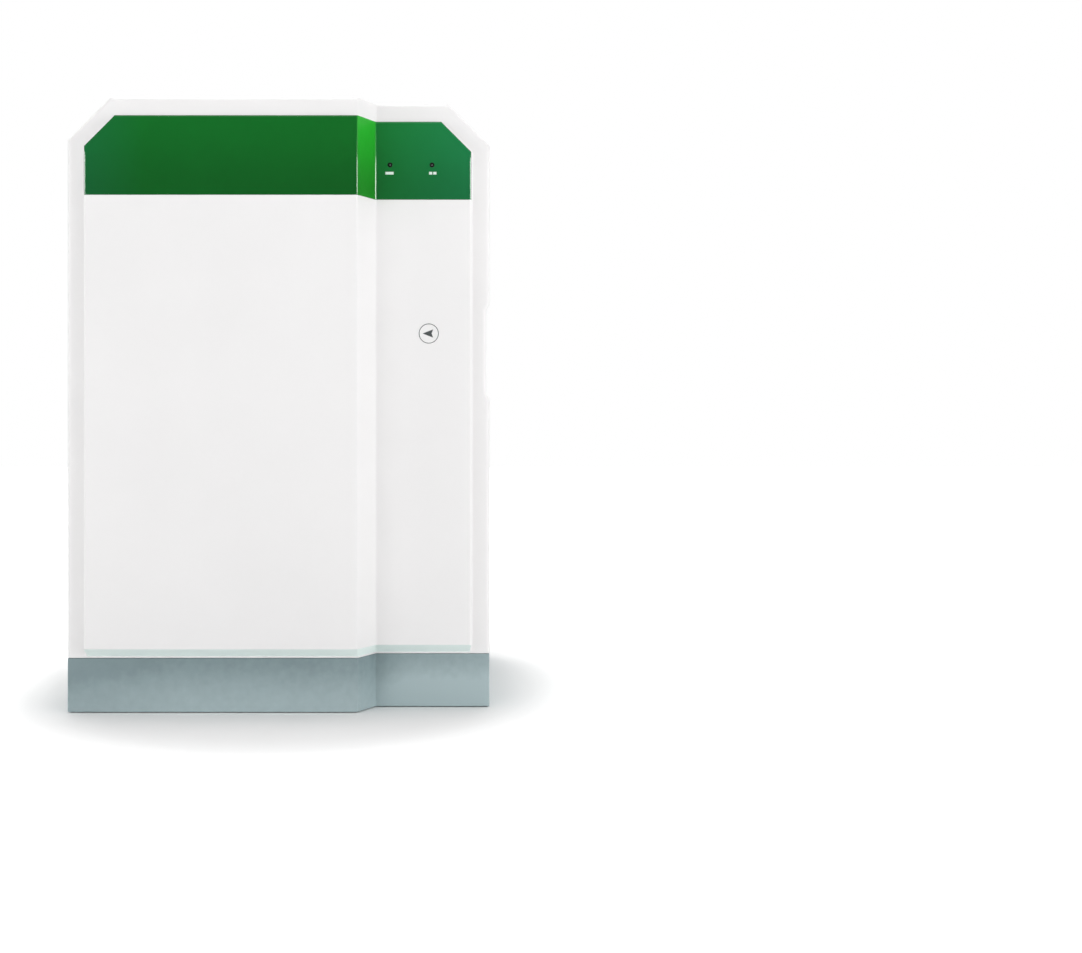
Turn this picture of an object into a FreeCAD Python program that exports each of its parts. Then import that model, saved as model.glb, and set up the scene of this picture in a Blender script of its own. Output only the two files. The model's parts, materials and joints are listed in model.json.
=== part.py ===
import FreeCAD, Part
import math
import os

# Bench-top automated blood culture cabinet: a closed, heated chamber of rocking bottle trays behind one
# full-width door. Millimetres. +Z is up, the door faces -Y and +X is the viewer's right. The origin is on the
# bench under the middle of the box that bounds the whole cabinet.

# Overall size
WIDTH = 500.0
HEIGHT = 726.5
DEPTH = 540.0

# Feet and plinth
FOOT_RADIUS = 20.0
FOOT_HEIGHT = 14.0
FOOT_INSET = 45.0
SKIRT_GAP = 1.0
PLINTH_HEIGHT = 63.5
PLINTH_WALL = 4.0
PLINTH_INSET = 0.5
CHASSIS_SHEET = 3.0

# Door front: a stepped rim with a raised panel on it
DOOR_GAP = 1.2
RAISE = 15.0
STEP = 42.0
STRIP_RUN = 20.0
SET_BACK_WIDTH = 137.0
EDGE_THICKNESS = 28.0
DOOR_WALL = 3.0
RIM_CORNER = 50.0
RIM_ROUND = 5.0
PANEL_SIDE_MARGIN = 22.5
PANEL_TOP_MARGIN = 23.8
PANEL_CORNER = 36.0
PANEL_ROUND = 2.0
PANEL_ROOT = 3.0
PANEL_FOOT = 11.3
BEVEL_DROP = 10.0
BAND_HEIGHT = 93.7
FASCIA_THICKNESS = 3.0

# Indicators in the green band
LED_FIRST = 17.2
LED_PITCH = 50.2
LED_DROP = 52.2
LED_RADIUS = 1.5
BEZEL_RADIUS = 2.4
BEZEL_LIP = 0.5
BEZEL_COLLAR = 1.4
BEZEL_TAIL = 1.0
BOARD_SHEET = 1.6
LED_BOARD_MARGIN = 10.0
LED_BOARD_ROOM = 6.4

# Finger notch and pocket in the door's free edge
FINGER_LENGTH = 112.0
FINGER_CENTRE = 362.3
NOTCH_DEPTH = 4.0
FINGER_POCKET_DEPTH = 18.0
FINGER_POCKET_REACH = 19.0
FINGER_POCKET_MARGIN = 4.0

# Door back: liner pan with its plug, foam, gasket and magnets
PAN_SHEET = 3.0
PLUG_DEPTH = 12.0
PLUG_GAP = 8.0
PLUG_ROUND = 12.0
FOAM_GAP = 0.3
SEAL_GAP = 8.0
SEAL_CLEARANCE = 0.3
GASKET_WIDTH = 12.0
GASKET_MARGIN = 2.0
GASKET_CORNER = 10.0
MAGNET_WIDTH = 12.0
MAGNET_LENGTH = 40.0
MAGNET_SIDE = 9.0
STRIKE_THICKNESS = 2.5
MAGNET_CLEARANCE = 0.3

# Door hinges
HINGE_INSET = 14.0
HINGE_ENDS = 108.0
PIN_RADIUS = 3.0
PIN_FIT = 0.02
HINGE_FIT = 0.05
KNUCKLE_RADIUS = 8.0
KNUCKLE_LENGTH = 40.0
EAR_THICKNESS = 4.0
EAR_GAP = 0.3
LEAF_THICKNESS = 3.0
LEAF_OVERLAP = 0.7
BRACKET_REACH = 10.0
BRACKET_INNER = 6.0
POCKET_END_ROOM = 4.0
POCKET_FRONT_ROOM = 9.0
WEB_THICKNESS = 6.0
PIN_HEAD_RADIUS = 4.5
PIN_HEAD_HEIGHT = 1.5

# Cabinet body
SIDE_SETBACK = 4.0
SHELL_WALL = 2.0
FRAME_THICKNESS = 6.0
INSULATION = 30.0
CHAMBER_WALL = 2.0
CHAMBER_DEPTH = 246.0
BULKHEAD_SHEET = 1.5
PANEL_SHEET = 2.0
RETURN_WIDTH = 14.0
BUMPER_LENGTH = 12.0
BUMPER_RADIUS = 12.5
BUMPER_INSET = 40.0
SCREW_RADIUS = 1.9
SCREW_FIT = 0.1
SCREW_HEAD_RADIUS = 3.6
SCREW_HEAD_HEIGHT = 2.0
SCREW_LENGTH = 8.0
SIDE_SCREWS = 4
TOP_SCREWS = 3
VENT_LENGTH = 70.0
VENT_HEIGHT = 4.0
VENT_PITCH = 12.0
SIDE_VENTS = 10
REAR_VENTS = 9
VENT_START = 60.0
VENT_REAR_ROOM = 16.0

# Rocking trays and the rack that carries them
ROWS = 7
FIRST_AXLE = 96.5
TOP_ROOM = 99.5
TRAY_LENGTH = 145.0
TRAY_FRONT_ROOM = 14.0
TRAY_SIDE_GAP = 4.0
TRAY_FLOOR = 3.0
TRAY_TOP = 20.0
TRAY_END = 4.0
COLUMN_PITCH = 46.0
TROUGH_RADIUS = 19.0
TROUGH_CENTRE = 26.0
TROUGH_LIP = 1.5
LIP_LENGTH = 4.0
TRAY_BACK_WALL = 3.0
BOSS_RADIUS = 9.0
BOSS_LENGTH = 12.0
SENSOR_RADIUS = 4.0
SENSOR_FIT = 0.2
SENSOR_HEIGHT = 13.0
SENSOR_BOARD_HEIGHT = 14.0
SIDE_LANE = 17.0
RACK_SHEET = 3.0
RACK_FRONT_ROOM = 6.0
RACK_BACK_ROOM = 20.0
RACK_FLANGE = 12.0
TIE_RADIUS = 4.0
TIE_SPIGOT = 2.5
TIE_FIT = 0.05
TIE_INSET = 10.0
TIE_LOW = 16.5
TIE_ABOVE_AXLE = 59.0

# Tray axles, cranks and the vertical link bar
AXLE_RADIUS = 4.0
AXLE_FIT = 0.05
PRESS_FIT = 0.01
BUSH_RADIUS = 6.0
BUSH_FLANGE_RADIUS = 8.0
BUSH_FLANGE = 1.2
CRANK_THROW = 30.0
CRANK_GAP = 1.0
CRANK_SHEET = 4.0
CRANK_HUB_RADIUS = 8.0
CRANK_END_RADIUS = 6.5
CRANK_PIN_RADIUS = 3.0
CRANK_PIN_PROUD = 0.8
BAR_GAP = 1.0
BAR_SHEET = 5.0
BAR_WIDTH = 16.0
BAR_TOP_ROOM = 54.0
SLOT_CLEARANCE = 0.15
SLOT_TRAVEL = 1.2
GUIDE_WALL = 3.5
GUIDE_HEIGHT = 12.0
GUIDE_CLEARANCE = 0.3
GUIDE_ABOVE_TOP = 34.0
GUIDE_ABOVE_MOTOR = 28.0

# Rocking motor and its rack and pinion
MOTOR_SIZE = 42.3
MOTOR_LENGTH = 40.0
MOTOR_CORNER = 4.5
MOTOR_HEIGHT = 31.5
MOTOR_PILOT_RADIUS = 11.0
MOTOR_PILOT = 2.0
SHAFT_RADIUS = 2.5
SHAFT_DEPTH = 22.0
GEAR_MODULE = 1.25
PINION_TEETH = 20
PRESSURE_ANGLE = math.radians(20.0)
DEDENDUM = 1.25
FLANK_STEPS = 4
BACKLASH = 0.15
RACK_GROOVES = 4
BAR_BOTTOM_ROOM = 9.5

# Chamber heating and its fan
BAFFLE_ROOM = 12.0
BAFFLE_SHEET = 2.0
BAFFLE_SLOT = 5.0
BAFFLE_SLOT_LENGTH = 120.0
FAN_HEIGHT = 200.0
FAN_SIZE = 119.0
FAN_HUB = 27.0
FAN_THICKNESS = 25.0
HEATER_WIDTH = 160.0
HEATER_DEPTH = 22.0
HEATER_TALL = 32.0
HEATER_HEIGHT = 340.0
HEATER_CORE = 6.0
FIN_PITCH = 8.0
FIN_SHEET = 1.2
PROBE_RADIUS = 2.5
PROBE_LENGTH = 40.0
PROBE_NUT_RADIUS = 6.0
PROBE_SIDE_ROOM = 62.0
PROBE_DROP = 25.5

# Fan parts that both fans share
FAN_WALL = 2.0
FAN_STRUT = 5.0
FAN_BASE = 3.0
FAN_SHAFT_RADIUS = 2.0
FAN_SHAFT_FIT = 0.05
FAN_END_GAP = 1.0
FAN_TIP_GAP = 1.5
BLADES = 7
BLADE_SHEET = 1.5
BLADE_PITCH = 35.0
BLADE_ROOM = 1.0
BLADE_ROOT = 2.5

# Rear bay: electronics, exhaust fan and the connections
BOARD_WIDTH = 200.0
BOARD_HEIGHT = 240.0
BOARD_BOTTOM = 150.0
STANDOFF = 10.0
STANDOFF_RADIUS = 3.0
STANDOFF_INSET = 9.0
PART_GROUPS = 3
PART_FIRST = 32.0
PART_PITCH = 60.0
CHIP_X = -55.0
CHIP_SIZE = 36.0
CHIP_HEIGHT = 4.0
CONNECTOR_X = 55.0
CONNECTOR_WIDTH = 35.0
CONNECTOR_TALL = 20.0
CONNECTOR_HEIGHT = 10.0
CAPACITOR_X = 20.0
CAPACITOR_RADIUS = 8.0
CAPACITOR_HEIGHT = 20.0
SUPPLY_WIDTH = 220.0
SUPPLY_DEPTH = 110.0
SUPPLY_HEIGHT = 38.0
SUPPLY_REAR_ROOM = 80.0
SUPPLY_SLOT = 110.0
SUPPLY_SLOT_DEPTH = 2.0
EXHAUST_SIZE = 80.0
EXHAUST_THICKNESS = 25.0
EXHAUST_HUB = 18.0
EXHAUST_SIDE_ROOM = 106.0
EXHAUST_DROP = 125.0
GUARD_WIRE = 1.0
GUARD_RINGS = 3
GUARD_OVERLAP = 4.0
CONNECTION_HEIGHT = 45.0
INLET_SIDE_ROOM = 96.0
INLET_WIDTH = 24.0
INLET_TALL = 16.0
INLET_DEPTH = 16.0
INLET_BACK = 8.0
INLET_WALL = 2.0
INLET_FLANGE = 11.0
INLET_LIP = 4.0
FLANGE_SHEET = 2.0
BLADE_PIN_WIDTH = 2.0
BLADE_PIN_TALL = 4.0
BLADE_PIN_LENGTH = 13.0
BLADE_PIN_SPREAD = 7.0
BLADE_PIN_RISE = 3.0
BLADE_PIN_FALL = 1.0
SWITCH_PITCH = 45.0
ROCKER_WIDTH = 18.0
ROCKER_TALL = 26.0
ROCKER_TILT = 7.0
ROCKER_PROUD = 3.0
ROCKER_GAP = 0.5
ROCKER_PIVOT = 2.0
ROCKER_PIVOT_DEPTH = 5.0
ROCKER_WEB = 4.0
SWITCH_WALL = 2.0
SWITCH_LIP = 3.0
SWITCH_DEPTH = 18.0
SWITCH_FLOOR = 3.0
PORT_SIDE_PITCH = 55.0
PORT_PITCH = 24.0
PORTS = 2
PORT_WIDTH = 12.0
PORT_TALL = 9.0
PORT_DEPTH = 12.0
PORT_WALL = 2.0
PORT_PROUD = 1.0

# Heights
FULL_TURN = 360.0
PLINTH_TOP = SKIRT_GAP + PLINTH_HEIGHT
DOOR_BOTTOM = PLINTH_TOP + DOOR_GAP
PANEL_TOP = HEIGHT - PANEL_TOP_MARGIN
PANEL_BOTTOM = DOOR_BOTTOM + PANEL_FOOT
BAND_BOTTOM = PANEL_TOP - BAND_HEIGHT
CHASSIS_TOP = FOOT_HEIGHT + CHASSIS_SHEET
CABINET_TOP = HEIGHT - SIDE_SETBACK
CHAMBER_BOTTOM = PLINTH_TOP + INSULATION + CHAMBER_WALL
CHAMBER_TOP = CABINET_TOP - SHELL_WALL - INSULATION - CHAMBER_WALL
FINGER_Z = DOOR_BOTTOM + FINGER_CENTRE

# Places across the cabinet
HALF_WIDTH = WIDTH / 2.0
PANEL_HALF = HALF_WIDTH - PANEL_SIDE_MARGIN
CABINET_HALF = HALF_WIDTH - SIDE_SETBACK
BAY_HALF = CABINET_HALF - SHELL_WALL
CHAMBER_HALF = BAY_HALF - INSULATION - CHAMBER_WALL
RACK_OUTER = CHAMBER_HALF - SIDE_LANE
RACK_INNER = RACK_OUTER - RACK_SHEET
TRAY_HALF = RACK_INNER - TRAY_SIDE_GAP
STRIP_RIGHT = HALF_WIDTH - SET_BACK_WIDTH
STRIP_LEFT = STRIP_RIGHT - STRIP_RUN
PROBE_X = CHAMBER_HALF - PROBE_SIDE_ROOM
EXHAUST_X = EXHAUST_SIDE_ROOM - CABINET_HALF
INLET_X = CABINET_HALF - INLET_SIDE_ROOM
SWITCH_X = INLET_X - SWITCH_PITCH
PORT_X = SWITCH_X - PORT_SIDE_PITCH

# Places front to back
PANEL_Y = -DEPTH / 2.0
RIM_Y = PANEL_Y + RAISE
DOOR_BACK = RIM_Y + STEP + EDGE_THICKNESS
CABINET_FRONT = DOOR_BACK + SEAL_GAP
CHAMBER_FRONT = CABINET_FRONT + FRAME_THICKNESS
CHAMBER_BACK = CHAMBER_FRONT + CHAMBER_DEPTH
JACKET_BACK = CHAMBER_BACK + CHAMBER_WALL + INSULATION
BAY_FRONT = JACKET_BACK + BULKHEAD_SHEET
REAR_Y = DEPTH / 2.0 - BUMPER_LENGTH
BAY_BACK = REAR_Y - PANEL_SHEET
TRAY_FRONT = CHAMBER_FRONT + TRAY_FRONT_ROOM
TRAY_BACK = TRAY_FRONT + TRAY_LENGTH
AXLE_Y = TRAY_FRONT + TRAY_LENGTH / 2.0
RACK_FRONT = CHAMBER_FRONT + RACK_FRONT_ROOM
RACK_BACK = TRAY_BACK + RACK_BACK_ROOM
BAFFLE_FRONT = RACK_BACK + BAFFLE_ROOM
BAFFLE_BACK = BAFFLE_FRONT + BAFFLE_SHEET

# Door hinge axis, hinge heights and indicator places
HINGE_X = -HALF_WIDTH + HINGE_INSET
HINGE_Y = DOOR_BACK - HINGE_INSET
HINGE_HEIGHTS = (PLINTH_TOP + HINGE_ENDS / 2.0, HEIGHT - HINGE_ENDS)
LED_Z = PANEL_TOP - LED_DROP
LED_PLACES = (STRIP_RIGHT + LED_FIRST, STRIP_RIGHT + LED_FIRST + LED_PITCH)

# Tray rows, cranks and drive
FIRST_AXLE_Z = CHAMBER_BOTTOM + FIRST_AXLE
ROW_PITCH = (CHAMBER_TOP - TOP_ROOM - FIRST_AXLE_Z) / (ROWS - 1)
AXLE_HEIGHTS = [FIRST_AXLE_Z + row * ROW_PITCH for row in range(ROWS)]
COLUMNS = int((2.0 * (TRAY_HALF - TRAY_END)) / COLUMN_PITCH + 0.001)
TOP_TIE_Z = AXLE_HEIGHTS[-1] + TIE_ABOVE_AXLE
RACK_TOP = TOP_TIE_Z + TIE_INSET
CRANK_INNER = RACK_OUTER + CRANK_GAP
CRANK_OUTER = CRANK_INNER + CRANK_SHEET
BAR_INNER = CRANK_OUTER + BAR_GAP
BAR_OUTER = BAR_INNER + BAR_SHEET
BAR_Y = AXLE_Y + CRANK_THROW
BAR_REAR = BAR_Y + BAR_WIDTH / 2.0
PITCH_RADIUS = GEAR_MODULE * PINION_TEETH / 2.0
MOTOR_Y = BAR_REAR - GEAR_MODULE + PITCH_RADIUS + BACKLASH
MOTOR_Z = CHAMBER_BOTTOM + MOTOR_HEIGHT

# Fans and connections
FAN_Z = CHAMBER_BOTTOM + FAN_HEIGHT
EXHAUST_Z = CABINET_TOP - EXHAUST_DROP
CONNECTION_Z = PLINTH_TOP + CONNECTION_HEIGHT

# How far a cutting tool runs past what it cuts
PAST = 1.0

VECTOR = FreeCAD.Vector
X_AXIS = VECTOR(1, 0, 0)
Y_AXIS = VECTOR(0, 1, 0)
Z_AXIS = VECTOR(0, 0, 1)


def block(x0, x1, y0, y1, z0, z1):
    """Box between two corners."""
    return Part.makeBox(x1 - x0, y1 - y0, z1 - z0, VECTOR(x0, y0, z0))


def face_of(points):
    """Flat face with straight edges through the points."""
    return Part.Face(Part.makePolygon(points + [points[0]]))


def prism_x(profile, x0, x1):
    """Solid with a (y, z) profile between two X planes."""
    face = face_of([VECTOR(x0, y, z) for y, z in profile])
    return face.extrude(VECTOR(x1 - x0, 0, 0))


def prism_y(outline, y0, y1):
    """Solid with an (x, z) outline between two Y planes."""
    face = face_of([VECTOR(x, y0, z) for x, z in outline])
    return face.extrude(VECTOR(0, y1 - y0, 0))


def prism_z(plan, z0, z1):
    """Solid with an (x, y) plan between two Z planes."""
    face = face_of([VECTOR(x, y, z0) for x, y in plan])
    return face.extrude(VECTOR(0, 0, z1 - z0))


def rod_x(radius, x0, x1, y, z):
    """Cylinder along X."""
    return Part.makeCylinder(radius, x1 - x0, VECTOR(x0, y, z), X_AXIS)


def rod_y(radius, y0, y1, x, z):
    """Cylinder along Y."""
    return Part.makeCylinder(radius, y1 - y0, VECTOR(x, y0, z), Y_AXIS)


def rod_z(radius, z0, z1, x, y):
    """Cylinder along Z."""
    return Part.makeCylinder(radius, z1 - z0, VECTOR(x, y, z0), Z_AXIS)


def joined(shapes):
    """One solid from shapes that touch or overlap."""
    first, *rest = shapes
    return first.fuse(rest).removeSplitter() if rest else first


def mirrored(shape):
    """The same shape on the other side of the middle plane X = 0."""
    return shape.mirror(VECTOR(0, 0, 0), X_AXIS)


def edges_along(shape, direction):
    """Straight edges of a shape that run along a direction."""
    found = []
    for edge in shape.Edges:
        run = edge.Vertexes[-1].Point - edge.Vertexes[0].Point
        if run.Length > 0 and abs(abs(run.normalize().dot(direction)) - 1.0) < 1e-6:
            found.append(edge)
    return found


def outline(half, bottom, top, corner, inset):
    """(x, z) outline with its two top corners cut at 45 degrees, its sides and top moved in by inset."""
    leg = corner - (2.0 - math.sqrt(2.0)) * inset
    x = half - inset
    z = top - inset
    return [(-x, bottom), (x, bottom), (x, z - leg), (x - leg, z), (leg - x, z), (-x, z - leg)]


def front_line(half, y_left, inset):
    """(x, y) line of the stepped front from left to right, moved back by inset from its faces."""
    slant = math.hypot(STRIP_RUN, STEP)
    slide = inset * (STRIP_RUN - slant) / STEP
    y = y_left + inset
    return [
        (inset - half, y),
        (STRIP_LEFT + slide, y),
        (STRIP_RIGHT + slide, y + STEP),
        (half - inset, y + STEP),
    ]


def stepped_plan(half, y_left, back, inset):
    """(x, y) plan behind the stepped front, back to a straight rear line."""
    return front_line(half, y_left, inset) + [(half - inset, back), (inset - half, back)]


def front_skin(y_left, depth, z0, z1):
    """Layer of the stepped front from in front of its face to depth behind it."""
    reach = HALF_WIDTH + PAST
    back = front_line(reach + depth, y_left, depth)
    front_y = y_left - PAST
    plan = [(-reach, front_y), (reach, front_y)] + list(reversed(back))
    return prism_z(plan, z0, z1)


def door_block(half, y_left, bottom, top, corner, inset, back):
    """Stepped block of the door with cut top corners."""
    plan = prism_z(stepped_plan(half, y_left, back, inset), bottom, top)
    sides = prism_y(outline(half, bottom, top, corner, inset), y_left - PAST, back + PAST)
    return plan.common(sides)


def on_front(point, y_left):
    """True where a point lies on the stepped front that starts at y_left."""
    if point.x <= STRIP_LEFT:
        y = y_left
    elif point.x >= STRIP_RIGHT:
        y = y_left + STEP
    else:
        y = y_left + STEP * (point.x - STRIP_LEFT) / STRIP_RUN
    return abs(point.y - y) < 1e-4


def rim_edges(shape, half, y_left, bottom, top, corner):
    """Edges where a door block's front face meets its sides and top."""
    found = []
    for edge in shape.Edges:
        middle = edge.valueAt((edge.FirstParameter + edge.LastParameter) / 2.0)
        side = abs(abs(middle.x) - half) < 1e-4
        cap = abs(middle.z - top) < 1e-4
        slant = abs(abs(middle.x) + middle.z - (half + top - corner)) < 1e-4
        if on_front(middle, y_left) and (side or cap or slant) and middle.z > bottom + 1e-4:
            found.append(edge)
    return found


def bevel_tool():
    """What is cut away below the raised panel to leave its sloping lower edge."""
    line = front_line(HALF_WIDTH, PANEL_Y, 0.0)
    lean = VECTOR(0, RAISE, -BEVEL_DROP)
    drop = 2.0 * BEVEL_DROP
    pieces = []
    for (x0, y0), (x1, y1) in zip(line, line[1:]):
        curtain = face_of(
            [
                VECTOR(x0, y0, PANEL_BOTTOM),
                VECTOR(x1, y1, PANEL_BOTTOM),
                VECTOR(x1, y1, PANEL_BOTTOM - drop),
                VECTOR(x0, y0, PANEL_BOTTOM - drop),
            ]
        )
        pieces.append(curtain.extrude(lean))
    return joined(pieces)


def hinge_pockets(grow):
    """Room for the two hinges in the door's rear left edge, open to the left and the back."""
    x1 = HINGE_X + BRACKET_INNER + LEAF_THICKNESS + LEAF_THICKNESS + grow
    y0 = HINGE_Y - KNUCKLE_RADIUS - POCKET_FRONT_ROOM - grow
    half = KNUCKLE_LENGTH / 2.0 + EAR_GAP + EAR_THICKNESS + POCKET_END_ROOM + grow
    return [
        block(-HALF_WIDTH - PAST, x1, y0, DOOR_BACK + PAST, z - half, z + half)
        for z in HINGE_HEIGHTS
    ]


def finger_pocket(grow):
    """Room for the fingers behind the door's free edge, open to the right and the back."""
    half = FINGER_LENGTH / 2.0 - FINGER_POCKET_MARGIN + grow
    return block(
        HALF_WIDTH - FINGER_POCKET_DEPTH - grow,
        HALF_WIDTH + PAST,
        DOOR_BACK - FINGER_POCKET_REACH - grow,
        DOOR_BACK + PAST,
        FINGER_Z - half,
        FINGER_Z + half,
    )


def finger_notch(grow):
    """Shallow notch through the door's free edge, with 45 degree ends."""
    half = FINGER_LENGTH / 2.0 + grow
    floor = HALF_WIDTH - NOTCH_DEPTH - grow
    slope = NOTCH_DEPTH + grow
    shape = [
        (HALF_WIDTH + PAST, FINGER_Z - half - PAST),
        (floor, FINGER_Z - half + slope),
        (floor, FINGER_Z + half - slope),
        (HALF_WIDTH + PAST, FINGER_Z + half + PAST),
    ]
    return prism_y(shape, PANEL_Y, DOOR_BACK + PAST)


def door_recesses(grow):
    """Every recess that the door's free and hinged edges have."""
    return hinge_pockets(grow) + [finger_pocket(grow), finger_notch(grow)]


def raised_block(inset):
    """Raised panel, from its face back into the rim."""
    half = PANEL_HALF
    bottom = PANEL_BOTTOM + inset if inset else PANEL_BOTTOM - BEVEL_DROP
    return door_block(half, PANEL_Y, bottom, PANEL_TOP, PANEL_CORNER, inset, DOOR_BACK)


def door_cavity(wall):
    """Space inside the door, a wall away from its front, its sides and its recesses."""
    rim = door_block(
        HALF_WIDTH, RIM_Y, DOOR_BOTTOM + wall, HEIGHT, RIM_CORNER, wall, DOOR_BACK + PAST
    )
    raised = raised_block(wall)
    band = front_skin(PANEL_Y, FASCIA_THICKNESS + wall, BAND_BOTTOM - wall, HEIGHT)
    space = rim.fuse(raised.cut(band))
    return space.cut(door_recesses(wall)).removeSplitter()


def door_outside():
    """Outer form of the door with its rounded edges and its bevelled foot."""
    rim = door_block(HALF_WIDTH, RIM_Y, DOOR_BOTTOM, HEIGHT, RIM_CORNER, 0.0, DOOR_BACK)
    edges = rim_edges(rim, HALF_WIDTH, RIM_Y, DOOR_BOTTOM, HEIGHT, RIM_CORNER)
    rim = rim.makeFillet(RIM_ROUND, edges)
    raised = raised_block(0.0)
    edges = rim_edges(raised, PANEL_HALF, PANEL_Y, PANEL_BOTTOM, PANEL_TOP, PANEL_CORNER)
    raised = raised.makeFillet(PANEL_ROUND, edges)
    return rim, raised.cut(bevel_tool())


def led_rods(radius, y0, y1):
    """Rods at the two indicator places."""
    return [rod_y(radius, y0, y1, x, LED_Z) for x in LED_PLACES]


def door_front():
    """Moulded door shell and the green fascia that lies flush in its raised panel."""
    rim, raised = door_outside()
    band = front_skin(PANEL_Y, FASCIA_THICKNESS, BAND_BOTTOM, HEIGHT)
    fascia = raised.common(band)
    outside = rim.fuse(raised.cut(band)).removeSplitter()
    foot = PANEL_BOTTOM - BEVEL_DROP
    root = rim_edges(outside, PANEL_HALF, RIM_Y, foot, PANEL_TOP, PANEL_CORNER)
    outside = outside.makeFillet(PANEL_ROOT, root)
    shell = outside.cut([door_cavity(DOOR_WALL)] + door_recesses(0.0))
    panel_right = PANEL_Y + STEP
    holes = led_rods(BEZEL_RADIUS + FOAM_GAP, panel_right - PAST, DOOR_BACK - PAN_SHEET)
    return shell.cut(holes).removeSplitter(), fascia.cut(holes).removeSplitter()


def indicators():
    """Two bezels through the fascia and wall, their lamps and the small board behind them."""
    face = PANEL_Y + STEP
    wall_back = face + FASCIA_THICKNESS + DOOR_WALL
    board_front = wall_back + BEZEL_TAIL
    bezels = []
    lamps = []
    for x in LED_PLACES:
        lip = rod_y(BEZEL_RADIUS + BEZEL_LIP, face - BEZEL_LIP, face, x, LED_Z)
        tube = rod_y(BEZEL_RADIUS, face - BEZEL_LIP, board_front, x, LED_Z)
        collar = rod_y(BEZEL_RADIUS + BEZEL_COLLAR, wall_back, board_front, x, LED_Z)
        bore = rod_y(LED_RADIUS + PRESS_FIT, face - PAST, board_front + PAST, x, LED_Z)
        bezels.append(joined([lip, tube, collar]).cut(bore))
        body = rod_y(LED_RADIUS, face, board_front, x, LED_Z)
        dome = Part.makeSphere(LED_RADIUS, VECTOR(x, face, LED_Z))
        lamps.append(joined([body, dome]))
    board = block(
        LED_PLACES[0] - LED_BOARD_MARGIN,
        LED_PLACES[1] + LED_BOARD_MARGIN,
        board_front,
        board_front + BOARD_SHEET,
        LED_Z - LED_BOARD_MARGIN,
        LED_Z + LED_BOARD_MARGIN,
    )
    return bezels, lamps, board


def pan_box(grow, y0, y1):
    """Box that fits the chamber's mouth with the plug gap, grown by grow, its long edges rounded."""
    half = CHAMBER_HALF - PLUG_GAP + grow
    box = block(
        -half, half, y0, y1, CHAMBER_BOTTOM + PLUG_GAP - grow, CHAMBER_TOP - PLUG_GAP + grow
    )
    return box.makeFillet(PLUG_ROUND + grow, edges_along(box, Y_AXIS))


def door_back():
    """Liner pan with its hollow plug, and the foam that fills the door in front of it."""
    plate = prism_y(
        outline(HALF_WIDTH, DOOR_BOTTOM + DOOR_WALL, HEIGHT, RIM_CORNER, DOOR_WALL),
        DOOR_BACK - PAN_SHEET,
        DOOR_BACK,
    )
    plate = plate.cut(door_recesses(DOOR_WALL))
    plug_back = DOOR_BACK + PLUG_DEPTH
    plug = pan_box(0.0, DOOR_BACK - PAN_SHEET, plug_back)
    hollow = pan_box(-PAN_SHEET, DOOR_BACK - PAN_SHEET - PAST, plug_back - PAN_SHEET)
    pan = joined([plate, plug]).cut(hollow)
    foam_wall = DOOR_WALL + FOAM_GAP
    foam_back = DOOR_BACK - PAN_SHEET - FOAM_GAP
    behind = block(
        -HALF_WIDTH, HALF_WIDTH, foam_back, DOOR_BACK + SEAL_GAP, 0.0, HEIGHT
    )
    foam = door_cavity(foam_wall).cut(behind)
    core = pan_box(-PAN_SHEET - FOAM_GAP, foam_back - PAST, plug_back - PAN_SHEET - FOAM_GAP)
    face = PANEL_Y + STEP
    room = block(
        LED_PLACES[0] - LED_BOARD_MARGIN - PAST,
        LED_PLACES[1] + LED_BOARD_MARGIN + PAST,
        face,
        face + FASCIA_THICKNESS + DOOR_WALL + LED_BOARD_ROOM,
        LED_Z - LED_BOARD_MARGIN - PAST,
        LED_Z + LED_BOARD_MARGIN + PAST,
    )
    foam = joined([foam, core]).cut(room)
    return pan, foam


def door_gasket():
    """Seal ring on the liner pan, round the chamber's mouth."""
    inner = CHAMBER_HALF + GASKET_MARGIN
    outer = inner + GASKET_WIDTH
    bottom = CHAMBER_BOTTOM - GASKET_MARGIN
    top = CHAMBER_TOP + GASKET_MARGIN
    ring = outline(outer, bottom - GASKET_WIDTH, top + GASKET_WIDTH, GASKET_CORNER, 0.0)
    y1 = CABINET_FRONT - SEAL_CLEARANCE
    hole = block(-inner, inner, DOOR_BACK - PAST, CABINET_FRONT, bottom, top)
    return prism_y(ring, DOOR_BACK, y1).cut(hole)


def latches():
    """Magnets on the door's liner pan and the strike plates that they meet."""
    centre = HALF_WIDTH - DOOR_WALL - MAGNET_SIDE
    x0 = centre - MAGNET_WIDTH / 2.0
    x1 = centre + MAGNET_WIDTH / 2.0
    strike_front = CABINET_FRONT - STRIKE_THICKNESS
    magnets = []
    strikes = []
    for z in HINGE_HEIGHTS:
        z0 = z - MAGNET_LENGTH / 2.0
        z1 = z + MAGNET_LENGTH / 2.0
        magnets.append(block(x0, x1, DOOR_BACK, strike_front - MAGNET_CLEARANCE, z0, z1))
        strikes.append(block(x0, x1, strike_front, CABINET_FRONT, z0, z1))
    return magnets, strikes


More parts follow.
